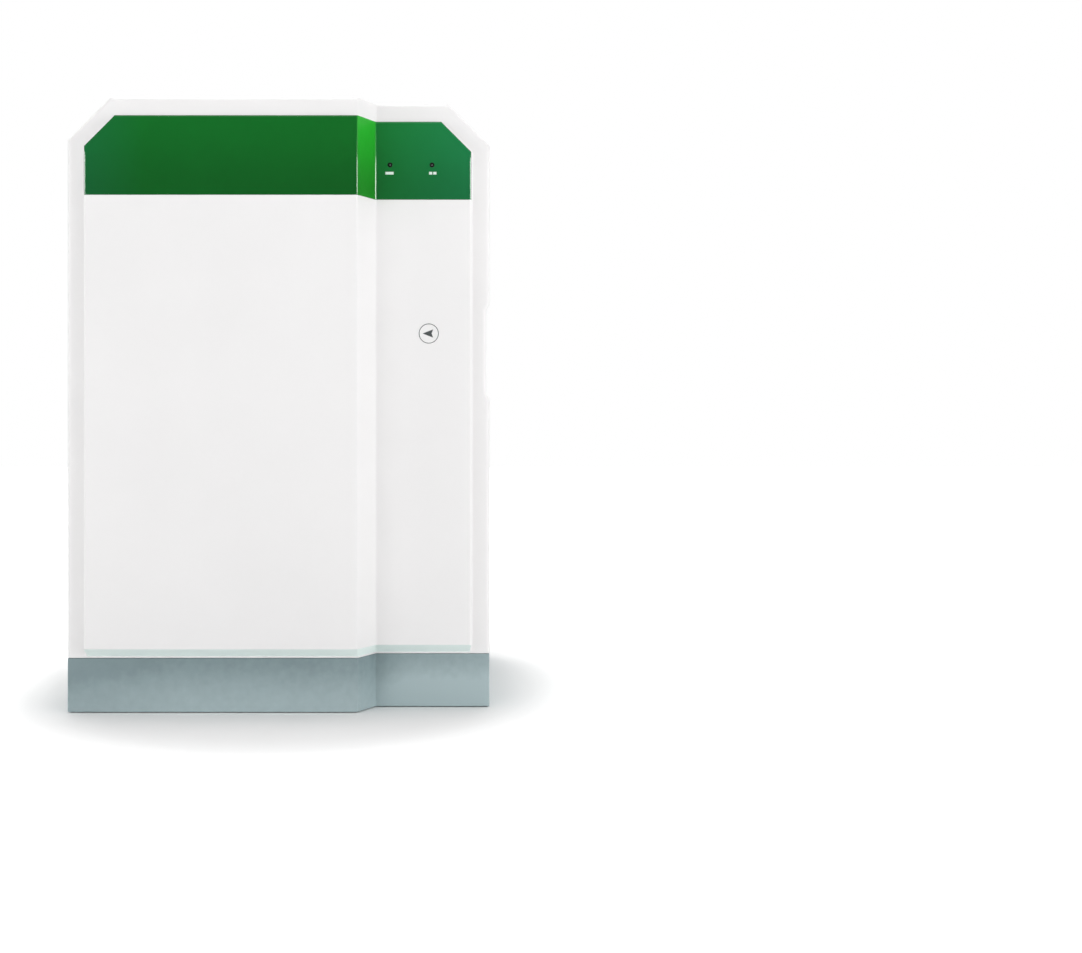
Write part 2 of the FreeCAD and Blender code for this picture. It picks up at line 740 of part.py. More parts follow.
def hinges():
    """Cabinet brackets, door knuckles and pins of the two door hinges."""
    brackets = []
    knuckles = []
    pins = []
    half = KNUCKLE_LENGTH / 2.0
    leaf_x1 = HINGE_X + BRACKET_INNER + LEAF_THICKNESS + LEAF_THICKNESS
    leaf_x0 = leaf_x1 - LEAF_THICKNESS
    for z in HINGE_HEIGHTS:
        ear_low = z - half - EAR_GAP - EAR_THICKNESS
        ear_high = z + half + EAR_GAP
        ears = []
        for ear in (ear_low, ear_high):
            disc = rod_z(KNUCKLE_RADIUS, ear, ear + EAR_THICKNESS, HINGE_X, HINGE_Y)
            arm = block(
                HINGE_X - KNUCKLE_RADIUS,
                HINGE_X + BRACKET_INNER,
                HINGE_Y,
                CABINET_FRONT - LEAF_THICKNESS,
                ear,
                ear + EAR_THICKNESS,
            )
            ears.extend([disc, arm])
        leaf = block(
            HINGE_X - BRACKET_REACH,
            HINGE_X + BRACKET_INNER,
            CABINET_FRONT - LEAF_THICKNESS,
            CABINET_FRONT,
            ear_low - LEAF_OVERLAP,
            ear_high + EAR_THICKNESS + LEAF_OVERLAP,
        )
        top = ear_high + EAR_THICKNESS
        bore = rod_z(PIN_RADIUS + PIN_FIT, ear_low - PAST, top + PAST, HINGE_X, HINGE_Y)
        brackets.append(joined(ears + [leaf]).cut(bore))
        barrel = rod_z(KNUCKLE_RADIUS, z - half, z + half, HINGE_X, HINGE_Y)
        web = block(
            HINGE_X,
            leaf_x0,
            HINGE_Y - WEB_THICKNESS / 2.0,
            HINGE_Y + WEB_THICKNESS / 2.0,
            z - half,
            z + half,
        )
        plate = block(
            leaf_x0,
            leaf_x1,
            HINGE_Y - KNUCKLE_RADIUS - POCKET_FRONT_ROOM / 2.0,
            DOOR_BACK - LEAF_THICKNESS,
            z - half,
            z + half,
        )
        hole = rod_z(PIN_RADIUS + HINGE_FIT, z - half - PAST, z + half + PAST, HINGE_X, HINGE_Y)
        knuckles.append(joined([barrel, web, plate]).cut(hole))
        shank = rod_z(PIN_RADIUS, ear_low, top, HINGE_X, HINGE_Y)
        head = rod_z(PIN_HEAD_RADIUS, top, top + PIN_HEAD_HEIGHT, HINGE_X, HINGE_Y)
        pins.append(joined([shank, head]))
    return brackets, knuckles, pins


def cabinet_outline(inset, drop):
    """(x, z) outline of the cabinet body, its open foot lowered by drop."""
    return outline(HALF_WIDTH, PLINTH_TOP - drop, HEIGHT, RIM_CORNER, SIDE_SETBACK + inset)


def bay_sheet(y0, y1):
    """Flat sheet that fills the inside of the cabinet shell."""
    return prism_y(cabinet_outline(SHELL_WALL, 0.0), y0, y1)


def screw_places():
    """(x, z) of the rear panel's screws along its sides and its top."""
    edge = SHELL_WALL + RETURN_WIDTH / 2.0
    x = CABINET_HALF - edge
    corner = RIM_CORNER
    low = PLINTH_TOP + RETURN_WIDTH
    high = CABINET_TOP - corner - RETURN_WIDTH
    rise = (high - low) / (SIDE_SCREWS - 1)
    places = []
    for count in range(SIDE_SCREWS):
        places.extend([(x, low + count * rise), (-x, low + count * rise)])
    span = 2.0 * (x - corner)
    for count in range(TOP_SCREWS):
        places.append((-span / 2.0 + count * span / (TOP_SCREWS - 1), CABINET_TOP - edge))
    return places


def cabinet_shell():
    """Folded sheet cover over the sides and top, with its rear return and side vents."""
    y_return = BAY_BACK - SHELL_WALL
    outside = prism_y(cabinet_outline(0.0, 0.0), CABINET_FRONT, REAR_Y)
    inside = prism_y(cabinet_outline(SHELL_WALL, PAST), CABINET_FRONT - PAST, y_return)
    mouth = prism_y(cabinet_outline(SHELL_WALL + RETURN_WIDTH, PAST), y_return - PAST, BAY_BACK + PAST)
    rear = prism_y(cabinet_outline(SHELL_WALL, PAST), BAY_BACK, REAR_Y + PAST)
    cuts = [inside, mouth, rear]
    for x, z in screw_places():
        cuts.append(rod_y(SCREW_RADIUS + SCREW_FIT, y_return - PAST, BAY_BACK + PAST, x, z))
    y1 = y_return - VENT_REAR_ROOM
    for count in range(SIDE_VENTS):
        z0 = PLINTH_TOP + VENT_START + count * VENT_PITCH
        cuts.append(
            block(-HALF_WIDTH, HALF_WIDTH, y1 - VENT_LENGTH, y1, z0, z0 + VENT_HEIGHT)
        )
    return outside.cut(cuts)


def front_frame():
    """Flat frame round the chamber's mouth that the gasket seals on."""
    mouth = block(
        -CHAMBER_HALF,
        CHAMBER_HALF,
        CABINET_FRONT - PAST,
        CHAMBER_FRONT + PAST,
        CHAMBER_BOTTOM,
        CHAMBER_TOP,
    )
    return bay_sheet(CABINET_FRONT, CHAMBER_FRONT).cut(mouth)


def chamber_box(grow, y0, y1):
    """Box of the chamber, grown on its sides, floor and ceiling."""
    half = CHAMBER_HALF + grow
    return block(-half, half, y0, y1, CHAMBER_BOTTOM - grow, CHAMBER_TOP + grow)


def chamber():
    """Chamber liner, open at the front, and the insulation round it."""
    back = CHAMBER_BACK + CHAMBER_WALL
    outer = chamber_box(CHAMBER_WALL, CHAMBER_FRONT, back)
    liner = outer.cut(chamber_box(0.0, CHAMBER_FRONT - PAST, CHAMBER_BACK))
    jacket = bay_sheet(CHAMBER_FRONT, JACKET_BACK)
    return liner, jacket.cut(chamber_box(CHAMBER_WALL, CHAMBER_FRONT - PAST, back))


def air_way(size):
    """Radius of the air way through a fan."""
    return size / 2.0 - FAN_WALL


def inlet_body_half(extra):
    """Half width and half height of the power inlet's body."""
    return INLET_WIDTH / 2.0 + extra, INLET_TALL / 2.0 + extra


def rocker_half(extra):
    """Half width and half height of the rocker's window."""
    return ROCKER_WIDTH / 2.0 + extra, ROCKER_TALL / 2.0 + extra


def port_centres():
    """X of each data port."""
    return [PORT_X - count * PORT_PITCH for count in range(PORTS)]


def through_panel(x, z, half_x, half_z, y0, y1):
    """Block centred on a place of the rear panel."""
    return block(x - half_x, x + half_x, y0, y1, z - half_z, z + half_z)


def rear_panel():
    """Rear sheet with the exhaust opening, intake slots and windows for the connections."""
    sheet = bay_sheet(BAY_BACK, REAR_Y)
    y0 = BAY_BACK - PAST
    y1 = REAR_Y + PAST
    cuts = [rod_y(air_way(EXHAUST_SIZE), y0, y1, EXHAUST_X, EXHAUST_Z)]
    for x, z in screw_places():
        cuts.append(rod_y(SCREW_RADIUS + SCREW_FIT, y0, y1, x, z))
    for count in range(REAR_VENTS):
        z0 = PLINTH_TOP + VENT_START + CONNECTION_HEIGHT + count * VENT_PITCH
        for x0 in (-EXHAUST_X - VENT_LENGTH / 2.0, EXHAUST_X - VENT_LENGTH / 2.0):
            cuts.append(block(x0, x0 + VENT_LENGTH, y0, y1, z0, z0 + VENT_HEIGHT))
    half_x, half_z = inlet_body_half(INLET_WALL)
    cuts.append(through_panel(INLET_X, CONNECTION_Z, half_x, half_z, y0, y1))
    half_x, half_z = rocker_half(ROCKER_GAP + SWITCH_WALL)
    cuts.append(through_panel(SWITCH_X, CONNECTION_Z, half_x, half_z, y0, y1))
    for x in port_centres():
        half_x = PORT_WIDTH / 2.0 + PORT_WALL
        half_z = PORT_TALL / 2.0 + PORT_WALL
        cuts.append(through_panel(x, CONNECTION_Z, half_x, half_z, y0, y1))
    return sheet.cut(cuts)


def panel_screws():
    """Pan-head screws that hold the rear panel to the shell's return."""
    screws = []
    for x, z in screw_places():
        shank = rod_y(SCREW_RADIUS, REAR_Y - SCREW_LENGTH, REAR_Y, x, z)
        head = rod_y(SCREW_HEAD_RADIUS, REAR_Y, REAR_Y + SCREW_HEAD_HEIGHT, x, z)
        screws.append(joined([shank, head]))
    return screws


def rear_bumpers():
    """Rubber bumpers that keep the cabinet off the wall behind it."""
    x = CABINET_HALF - BUMPER_INSET
    low = PLINTH_TOP + BUMPER_INSET
    high = CABINET_TOP - BUMPER_INSET - RIM_CORNER
    y1 = REAR_Y + BUMPER_LENGTH
    return [rod_y(BUMPER_RADIUS, REAR_Y, y1, side * x, z) for side in (-1, 1) for z in (low, high)]


def plinth():
    """Grey skirted base, its steel bottom plate and its rubber feet."""
    outer = prism_z(stepped_plan(HALF_WIDTH, RIM_Y, REAR_Y, PLINTH_INSET), SKIRT_GAP, PLINTH_TOP)
    inset = PLINTH_WALL + PLINTH_INSET
    inner_plan = stepped_plan(HALF_WIDTH, RIM_Y, REAR_Y - PLINTH_WALL, inset)
    inner = prism_z(inner_plan, SKIRT_GAP - PAST, PLINTH_TOP - PLINTH_WALL)
    plate = prism_z(inner_plan, FOOT_HEIGHT, CHASSIS_TOP)
    x = HALF_WIDTH - FOOT_INSET
    places = [
        (-x, RIM_Y + FOOT_INSET),
        (x, RIM_Y + STEP + FOOT_INSET),
        (-x, REAR_Y - FOOT_INSET),
        (x, REAR_Y - FOOT_INSET),
    ]
    feet = [rod_z(FOOT_RADIUS, 0.0, FOOT_HEIGHT, fx, fy) for fx, fy in places]
    return outer.cut(inner), plate, feet


def power_supply():
    """Closed supply box on the bottom plate, with slots across its lid."""
    y1 = REAR_Y - SUPPLY_REAR_ROOM
    half = SUPPLY_WIDTH / 2.0
    box = block(-half, half, y1 - SUPPLY_DEPTH, y1, CHASSIS_TOP, CHASSIS_TOP + SUPPLY_HEIGHT)
    slots = []
    count = int(SUPPLY_DEPTH / VENT_PITCH) - 1
    reach = SUPPLY_SLOT / 2.0
    top = CHASSIS_TOP + SUPPLY_HEIGHT
    for number in range(count):
        y = y1 - VENT_PITCH * (number + 1)
        slots.append(block(-reach, reach, y - VENT_HEIGHT, y, top - SUPPLY_SLOT_DEPTH, top + PAST))
    return box.cut(slots)


def tie_places():
    """(y, z) of the four tie rods between the rack plates."""
    front = RACK_FRONT + TIE_INSET
    back = RACK_BACK - TIE_INSET
    low = CHAMBER_BOTTOM + TIE_LOW
    return [(front, low), (back, low), (front, TOP_TIE_Z), (back, TOP_TIE_Z)]


def rack_plate():
    """Right-hand rack plate with its floor flange and the bores for bushes and tie rods."""
    plate = block(RACK_INNER, RACK_OUTER, RACK_FRONT, RACK_BACK, CHAMBER_BOTTOM, RACK_TOP)
    flange = block(
        RACK_INNER - RACK_FLANGE,
        RACK_INNER,
        RACK_FRONT,
        RACK_BACK,
        CHAMBER_BOTTOM,
        CHAMBER_BOTTOM + RACK_SHEET,
    )
    x0 = RACK_INNER - PAST
    x1 = RACK_OUTER + PAST
    cuts = [rod_x(BUSH_RADIUS + PRESS_FIT, x0, x1, AXLE_Y, z) for z in AXLE_HEIGHTS]
    for y, z in tie_places():
        cuts.append(rod_x(TIE_SPIGOT + TIE_FIT, x0, x1, y, z))
    return joined([plate, flange]).cut(cuts)


def rack():
    """Two rack plates, the tie rods between them and the axle bushes in them."""
    right = rack_plate()
    left = mirrored(right)
    pilot = rod_x(
        MOTOR_PILOT_RADIUS + PRESS_FIT, RACK_INNER - PAST, RACK_OUTER + PAST, MOTOR_Y, MOTOR_Z
    )
    right = right.cut(pilot)
    rods = []
    for y, z in tie_places():
        body = rod_x(TIE_RADIUS, -RACK_INNER, RACK_INNER, y, z)
        spigot = rod_x(TIE_SPIGOT, -RACK_OUTER, RACK_OUTER, y, z)
        rods.append(joined([body, spigot]))
    bushes = []
    for z in AXLE_HEIGHTS:
        barrel = rod_x(BUSH_RADIUS, RACK_INNER, RACK_OUTER, AXLE_Y, z)
        flange = rod_x(BUSH_FLANGE_RADIUS, RACK_INNER - BUSH_FLANGE, RACK_INNER, AXLE_Y, z)
        bore = rod_x(
            AXLE_RADIUS + AXLE_FIT, RACK_INNER - BUSH_FLANGE - PAST, RACK_OUTER + PAST, AXLE_Y, z
        )
        bush = joined([barrel, flange]).cut(bore)
        bushes.extend([bush, mirrored(bush)])
    return left, right, rods, bushes


def column_centres():
    """X of each bottle place in a tray."""
    pitch = 2.0 * (TRAY_HALF - TRAY_END) / COLUMNS
    first = -pitch * (COLUMNS - 1) / 2.0
    return [first + number * pitch for number in range(COLUMNS)]


def tray(z):
    """Moulded tray of bottle cradles with a stub axle at each end and the crank on the right one."""
    body = block(-TRAY_HALF, TRAY_HALF, TRAY_FRONT, TRAY_BACK, z + TRAY_FLOOR, z + TRAY_TOP)
    boss = rod_x(BOSS_RADIUS, TRAY_HALF - BOSS_LENGTH, TRAY_HALF, AXLE_Y, z)
    moulding = joined([body, boss, mirrored(boss)])
    lip_end = TRAY_FRONT + LIP_LENGTH
    wall_front = TRAY_BACK - TRAY_BACK_WALL
    centre = z + TROUGH_CENTRE
    cuts = []
    for x in column_centres():
        cuts.append(rod_y(TROUGH_RADIUS - TROUGH_LIP, TRAY_FRONT - PAST, lip_end + PAST, x, centre))
        cuts.append(rod_y(TROUGH_RADIUS, lip_end, wall_front, x, centre))
        cuts.append(
            rod_y(SENSOR_RADIUS + SENSOR_FIT, wall_front - PAST, TRAY_BACK + PAST, x, z + SENSOR_HEIGHT)
        )
    socket = rod_x(AXLE_RADIUS + PRESS_FIT, TRAY_HALF - BOSS_LENGTH, TRAY_HALF + PAST, AXLE_Y, z)
    cuts.extend([socket, mirrored(socket)])
    moulding = moulding.cut(cuts)
    left = rod_x(AXLE_RADIUS, -CRANK_INNER, BOSS_LENGTH - TRAY_HALF, AXLE_Y, z)
    shaft = rod_x(AXLE_RADIUS, TRAY_HALF - BOSS_LENGTH, CRANK_OUTER, AXLE_Y, z)
    hub = rod_x(CRANK_HUB_RADIUS, CRANK_INNER, CRANK_OUTER, AXLE_Y, z)
    arm = block(
        CRANK_INNER, CRANK_OUTER, AXLE_Y, BAR_Y, z - CRANK_END_RADIUS, z + CRANK_END_RADIUS
    )
    end = rod_x(CRANK_END_RADIUS, CRANK_INNER, CRANK_OUTER, BAR_Y, z)
    pin = rod_x(CRANK_PIN_RADIUS, CRANK_INNER, BAR_OUTER + CRANK_PIN_PROUD, BAR_Y, z)
    return [moulding, left, joined([shaft, hub, arm, end, pin])]


def sensor_board(z):
    """Circuit board on a tray's rear wall with one sensor reaching into each cradle."""
    middle = z + SENSOR_HEIGHT
    half = SENSOR_BOARD_HEIGHT / 2.0
    reach = column_centres()[-1] + TROUGH_RADIUS
    parts = [block(-reach, reach, TRAY_BACK, TRAY_BACK + BOARD_SHEET, middle - half, middle + half)]
    for x in column_centres():
        parts.append(rod_y(SENSOR_RADIUS, TRAY_BACK - TRAY_BACK_WALL, TRAY_BACK, x, middle))
    return joined(parts)


def link_bar():
    """Vertical bar that joins the cranks, with a slot for each crank pin and rack teeth at its foot."""
    y0 = BAR_Y - BAR_WIDTH / 2.0
    bottom = CHAMBER_BOTTOM + BAR_BOTTOM_ROOM
    top = AXLE_HEIGHTS[-1] + BAR_TOP_ROOM
    bar = block(BAR_INNER, BAR_OUTER, y0, BAR_REAR, bottom, top)
    x0 = BAR_INNER - PAST
    x1 = BAR_OUTER + PAST
    slot_half = CRANK_PIN_RADIUS + SLOT_CLEARANCE
    cuts = []
    for z in AXLE_HEIGHTS:
        cuts.append(
            block(x0, x1, BAR_Y - SLOT_TRAVEL, BAR_Y + SLOT_TRAVEL, z - slot_half, z + slot_half)
        )
        for end in (-SLOT_TRAVEL, SLOT_TRAVEL):
            cuts.append(rod_x(slot_half, x0, x1, BAR_Y + end, z))
    pitch = math.pi * GEAR_MODULE
    slope = math.tan(PRESSURE_ANGLE)
    pitch_line = BAR_REAR - GEAR_MODULE
    root = pitch_line - DEDENDUM * GEAR_MODULE
    outside = BAR_REAR + PAST
    wide = pitch / 4.0 + slope * (outside - pitch_line)
    narrow = pitch / 4.0 - slope * (pitch_line - root)
    for number in range(-RACK_GROOVES, RACK_GROOVES + 1):
        z = MOTOR_Z + number * pitch
        groove = [(outside, z - wide), (outside, z + wide), (root, z + narrow), (root, z - narrow)]
        cuts.append(prism_x(groove, x0, x1))
    return bar.cut(cuts)


def link_guides():
    """Two guide blocks on the right rack plate that the link bar slides through."""
    guides = []
    half = BAR_WIDTH / 2.0 + GUIDE_CLEARANCE
    heights = (MOTOR_Z + GUIDE_ABOVE_MOTOR, AXLE_HEIGHTS[-1] + GUIDE_ABOVE_TOP)
    for z in heights:
        body = block(
            RACK_OUTER,
            BAR_OUTER + GUIDE_CLEARANCE + GUIDE_WALL,
            BAR_Y - half - GUIDE_WALL,
            BAR_Y + half + GUIDE_WALL,
            z,
            z + GUIDE_HEIGHT,
        )
        way = block(
            BAR_INNER - GUIDE_CLEARANCE,
            BAR_OUTER + GUIDE_CLEARANCE,
            BAR_Y - half,
            BAR_Y + half,
            z - PAST,
            z + GUIDE_HEIGHT + PAST,
        )
        guides.append(body.cut(way))
    return guides


def involute(angle):
    """Involute function of a pressure angle."""
    return math.tan(angle) - angle


def pinion_plan():
    """(y, z) points round the pinion's teeth, one tooth pointing at the link bar."""
    base = PITCH_RADIUS * math.cos(PRESSURE_ANGLE)
    tip = PITCH_RADIUS + GEAR_MODULE
    root = PITCH_RADIUS - DEDENDUM * GEAR_MODULE
    flank = [(root, 0.0)]
    for step in range(FLANK_STEPS + 1):
        radius = base + (tip - base) * step / FLANK_STEPS
        flank.append((radius, involute(math.acos(min(1.0, base / radius)))))
    half_tooth = math.pi / (2.0 * PINION_TEETH) + involute(PRESSURE_ANGLE)
    points = []
    for tooth in range(PINION_TEETH):
        middle = math.pi + 2.0 * math.pi * tooth / PINION_TEETH
        for radius, lead in flank:
            points.append((radius, middle - half_tooth + lead))
        for radius, lead in reversed(flank):
            points.append((radius, middle + half_tooth - lead))
    return [(MOTOR_Y + r * math.cos(angle), MOTOR_Z + r * math.sin(angle)) for r, angle in points]


def drive():
    """Rocking motor on the right rack plate, and the pinion with its shaft."""
    half = MOTOR_SIZE / 2.0
    body = block(
        RACK_INNER - MOTOR_LENGTH,
        RACK_INNER,
        MOTOR_Y - half,
        MOTOR_Y + half,
        MOTOR_Z - half,
        MOTOR_Z + half,
    )
    body = body.makeChamfer(MOTOR_CORNER, edges_along(body, X_AXIS))
    pilot = rod_x(MOTOR_PILOT_RADIUS, RACK_INNER, RACK_INNER + MOTOR_PILOT, MOTOR_Y, MOTOR_Z)
    shaft_start = RACK_INNER - SHAFT_DEPTH
    bore = rod_x(
        SHAFT_RADIUS + AXLE_FIT, shaft_start - AXLE_FIT, RACK_OUTER, MOTOR_Y, MOTOR_Z
    )
    motor = joined([body, pilot]).cut(bore)
    gear = prism_x(pinion_plan(), BAR_INNER, BAR_OUTER)
    shaft = rod_x(SHAFT_RADIUS, shaft_start, BAR_OUTER + CRANK_PIN_PROUD, MOTOR_Y, MOTOR_Z)
    return motor, joined([gear, shaft])


def air_baffle():
    """Sheet behind the rack with the fan opening and one air slot for each tray row."""
    sheet = block(
        -CHAMBER_HALF, CHAMBER_HALF, BAFFLE_FRONT, BAFFLE_BACK, CHAMBER_BOTTOM, CHAMBER_TOP
    )
    y0 = BAFFLE_FRONT - PAST
    y1 = BAFFLE_BACK + PAST
    cuts = [rod_y(air_way(FAN_SIZE), y0, y1, 0.0, FAN_Z)]
    inner = FAN_SIZE / 2.0 + BAFFLE_SLOT
    for z in AXLE_HEIGHTS:
        for x0 in (inner, -inner - BAFFLE_SLOT_LENGTH):
            cuts.append(block(x0, x0 + BAFFLE_SLOT_LENGTH, y0, y1, z, z + BAFFLE_SLOT))
    return sheet.cut(cuts)


def fan_frame(size, thickness, hub, x, y0, z):
    """Square axial fan frame from y0 backwards, with its motor base and struts at the rear."""
    half = size / 2.0
    y1 = y0 + thickness
    radius = air_way(size)
    frame = block(x - half, x + half, y0, y1, z - half, z + half)
    frame = frame.cut(rod_y(radius, y0 - PAST, y1 + PAST, x, z))
    base_front = y1 - FAN_BASE
    parts = [frame, rod_y(hub, base_front, y1, x, z)]
    strut = FAN_STRUT / 2.0
    reach = radius + FAN_WALL / 2.0
    parts.append(block(x - reach, x + reach, base_front, y1, z - strut, z + strut))
    parts.append(block(x - strut, x + strut, base_front, y1, z - reach, z + reach))
    parts.append(rod_y(FAN_SHAFT_RADIUS, y0 + FAN_END_GAP + FAN_BASE, y1, x, z))
    return joined(parts)


def fan_rotor(size, thickness, hub_radius, x, y0, z):
    """Hub and pitched blades of an axial fan, running on the frame's spindle."""
    front = y0 + FAN_END_GAP
    back = y0 + thickness - FAN_BASE - FAN_END_GAP
    middle = (front + back) / 2.0
    hub = rod_y(hub_radius, front, back, x, z)
    tip = air_way(size) - FAN_TIP_GAP
    chord = back - front - 2.0 * BLADE_ROOM
    blade = block(
        hub_radius - BLADE_ROOT,
        tip + BLADE_SHEET,
        -BLADE_SHEET / 2.0,
        BLADE_SHEET / 2.0,
        -chord / 2.0,
        chord / 2.0,
    )
    blade.rotate(VECTOR(0, 0, 0), X_AXIS, 90.0 - BLADE_PITCH)
    blade.translate(VECTOR(x, middle, z))
    envelope = rod_y(tip, front, back, x, z)
    blade = blade.common(envelope)
    parts = [hub]
    for number in range(BLADES):
        turned = blade.copy()
        turned.rotate(VECTOR(x, middle, z), Y_AXIS, FULL_TURN * number / BLADES)
        parts.append(turned)
    bore = rod_y(
        FAN_SHAFT_RADIUS + FAN_SHAFT_FIT, front + FAN_BASE - FAN_SHAFT_FIT, back + PAST, x, z
    )
    return joined(parts).cut(bore)


def heater():
    """Finned heater bolted to the back of the air baffle."""
    half = HEATER_WIDTH / 2.0
    z0 = CHAMBER_BOTTOM + HEATER_HEIGHT
    z1 = z0 + HEATER_TALL
    core = block(-half, half, BAFFLE_BACK, BAFFLE_BACK + HEATER_CORE, z0, z1)
    fins = []
    count = int(HEATER_WIDTH / FIN_PITCH) + 1
    for number in range(count):
        x = -half + number * (HEATER_WIDTH - FIN_SHEET) / (count - 1)
        fins.append(block(x, x + FIN_SHEET, BAFFLE_BACK, BAFFLE_BACK + HEATER_DEPTH, z0, z1))
    return joined([core] + fins)


def temperature_probe():
    """Probe that reaches forward from the air baffle over the top tray."""
    z = CHAMBER_TOP - PROBE_DROP
    stem = rod_y(PROBE_RADIUS, BAFFLE_FRONT - PROBE_LENGTH, BAFFLE_FRONT, PROBE_X, z)
    nut = rod_y(PROBE_NUT_RADIUS, BAFFLE_FRONT - PROBE_NUT_RADIUS, BAFFLE_FRONT, PROBE_X, z)
    return joined([stem, nut])


def control_board():
    """Main circuit board on standoffs from the bulkhead, with its larger components."""
    half = BOARD_WIDTH / 2.0
    z0 = PLINTH_TOP + BOARD_BOTTOM
    z1 = z0 + BOARD_HEIGHT
    y0 = BAY_FRONT + STANDOFF
    y1 = y0 + BOARD_SHEET
    parts = [block(-half, half, y0, y1, z0, z1)]
    for x in (STANDOFF_INSET - half, half - STANDOFF_INSET):
        for z in (z0 + STANDOFF_INSET, z1 - STANDOFF_INSET):
            parts.append(rod_y(STANDOFF_RADIUS, BAY_FRONT, y0, x, z))
    plug_x = CONNECTOR_X + CONNECTOR_WIDTH
    for number in range(PART_GROUPS):
        z = z0 + PART_FIRST + number * PART_PITCH
        parts.append(block(CHIP_X, CHIP_X + CHIP_SIZE, y1, y1 + CHIP_HEIGHT, z, z + CHIP_SIZE))
        parts.append(block(CONNECTOR_X, plug_x, y1, y1 + CONNECTOR_HEIGHT, z, z + CONNECTOR_TALL))
        middle = z + CHIP_SIZE / 2.0
        parts.append(rod_y(CAPACITOR_RADIUS, y1, y1 + CAPACITOR_HEIGHT, CAPACITOR_X, middle))
    return joined(parts)


def fan_guard():
    """Wire guard over the exhaust opening, on the outside of the rear panel."""
    radius = air_way(EXHAUST_SIZE)
    y1 = REAR_Y + 2.0 * GUARD_WIRE
    parts = []
    for number in range(GUARD_RINGS):
        ring = radius * (number + 1) / GUARD_RINGS
        outer = rod_y(ring + GUARD_WIRE, REAR_Y, y1, EXHAUST_X, EXHAUST_Z)
        inner = rod_y(ring - GUARD_WIRE, REAR_Y - PAST, y1 + PAST, EXHAUST_X, EXHAUST_Z)
        parts.append(outer.cut(inner))
    reach = radius + GUARD_OVERLAP
    for turn in (45.0, 135.0):
        strut = through_panel(EXHAUST_X, EXHAUST_Z, reach, GUARD_WIRE, REAR_Y, y1)
        strut.rotate(VECTOR(EXHAUST_X, REAR_Y, EXHAUST_Z), Y_AXIS, turn)
        parts.append(strut)
    return joined(parts)


def power_inlet():
    """Mains inlet with its flange, hollow socket and three flat pins."""
    half_x, half_z = inlet_body_half(INLET_WALL)
    front = REAR_Y - INLET_DEPTH - INLET_BACK
    body = through_panel(INLET_X, CONNECTION_Z, half_x, half_z, front, REAR_Y)
    flange = through_panel(
        INLET_X,
        CONNECTION_Z,
        half_x + INLET_FLANGE,
        half_z + INLET_LIP,
        REAR_Y,
        REAR_Y + FLANGE_SHEET,
    )
    floor = REAR_Y + FLANGE_SHEET - INLET_DEPTH
    half_x, half_z = inlet_body_half(0.0)
    socket = through_panel(INLET_X, CONNECTION_Z, half_x, half_z, floor, REAR_Y + FLANGE_SHEET + PAST)
    shell = joined([body, flange]).cut(socket)
    pins = []
    for x, z in (
        (INLET_X - BLADE_PIN_SPREAD, CONNECTION_Z - BLADE_PIN_FALL),
        (INLET_X + BLADE_PIN_SPREAD, CONNECTION_Z - BLADE_PIN_FALL),
        (INLET_X, CONNECTION_Z + BLADE_PIN_RISE),
    ):
        half_x, half_z = BLADE_PIN_WIDTH / 2.0, BLADE_PIN_TALL / 2.0
        pins.append(through_panel(x, z, half_x, half_z, floor, floor + BLADE_PIN_LENGTH))
    return joined([shell] + pins)


def rocker_centre():
    """(y, z) of the rocker's pivot."""
    return REAR_Y - ROCKER_PIVOT_DEPTH, CONNECTION_Z


def power_switch():
    """Switch body with its window, and the rocker on its pivot, tilted to off."""
    half_x, half_z = rocker_half(ROCKER_GAP)
    front = REAR_Y - SWITCH_DEPTH
    face = REAR_Y + FLANGE_SHEET
    wall_x, wall_z = half_x + SWITCH_WALL, half_z + SWITCH_WALL
    lip_x, lip_z = wall_x + SWITCH_LIP, wall_z + SWITCH_LIP
    body = through_panel(SWITCH_X, CONNECTION_Z, wall_x, wall_z, front, REAR_Y)
    flange = through_panel(SWITCH_X, CONNECTION_Z, lip_x, lip_z, REAR_Y, face)
    floor = front + SWITCH_FLOOR
    window = through_panel(SWITCH_X, CONNECTION_Z, half_x, half_z, floor, face + PAST)
    y, z = rocker_centre()
    reach = half_x + SWITCH_WALL / 2.0
    pivot_hole = rod_x(ROCKER_PIVOT + AXLE_FIT, SWITCH_X - reach, SWITCH_X + reach, y, z)
    body = joined([body, flange]).cut([window, pivot_hole])
    half = ROCKER_TALL / 2.0
    rise = face + ROCKER_PROUD
    dip = rise - half * math.tan(math.radians(ROCKER_TILT))
    profile = [
        (y, z - ROCKER_WEB),
        (y, z + ROCKER_WEB),
        (REAR_Y - ROCKER_PROUD, z + half - ROCKER_GAP),
        (rise, z + half - ROCKER_GAP),
        (dip, z),
        (rise, z - half + ROCKER_GAP),
        (REAR_Y - ROCKER_PROUD, z - half + ROCKER_GAP),
    ]
    half_x = ROCKER_WIDTH / 2.0
    rocker = prism_x(profile, SWITCH_X - half_x, SWITCH_X + half_x)
    pivot = rod_x(ROCKER_PIVOT, SWITCH_X - reach + AXLE_FIT, SWITCH_X + reach - AXLE_FIT, y, z)
    rocker = joined([rocker, pivot])
    rocker.rotate(VECTOR(SWITCH_X, y, z), X_AXIS, -ROCKER_TILT)
    return body, rocker


def data_ports():
    """Square data sockets in the rear panel."""
    ports = []
    for x in port_centres():
        half_x = PORT_WIDTH / 2.0
        half_z = PORT_TALL / 2.0
        front = REAR_Y - PORT_DEPTH - PORT_WALL
        body = through_panel(
            x, CONNECTION_Z, half_x + PORT_WALL, half_z + PORT_WALL, front, REAR_Y + PORT_PROUD
        )
        hollow = through_panel(
            x, CONNECTION_Z, half_x, half_z, REAR_Y - PORT_DEPTH, REAR_Y + PORT_WALL
        )
        ports.append(body.cut(hollow))
    return ports


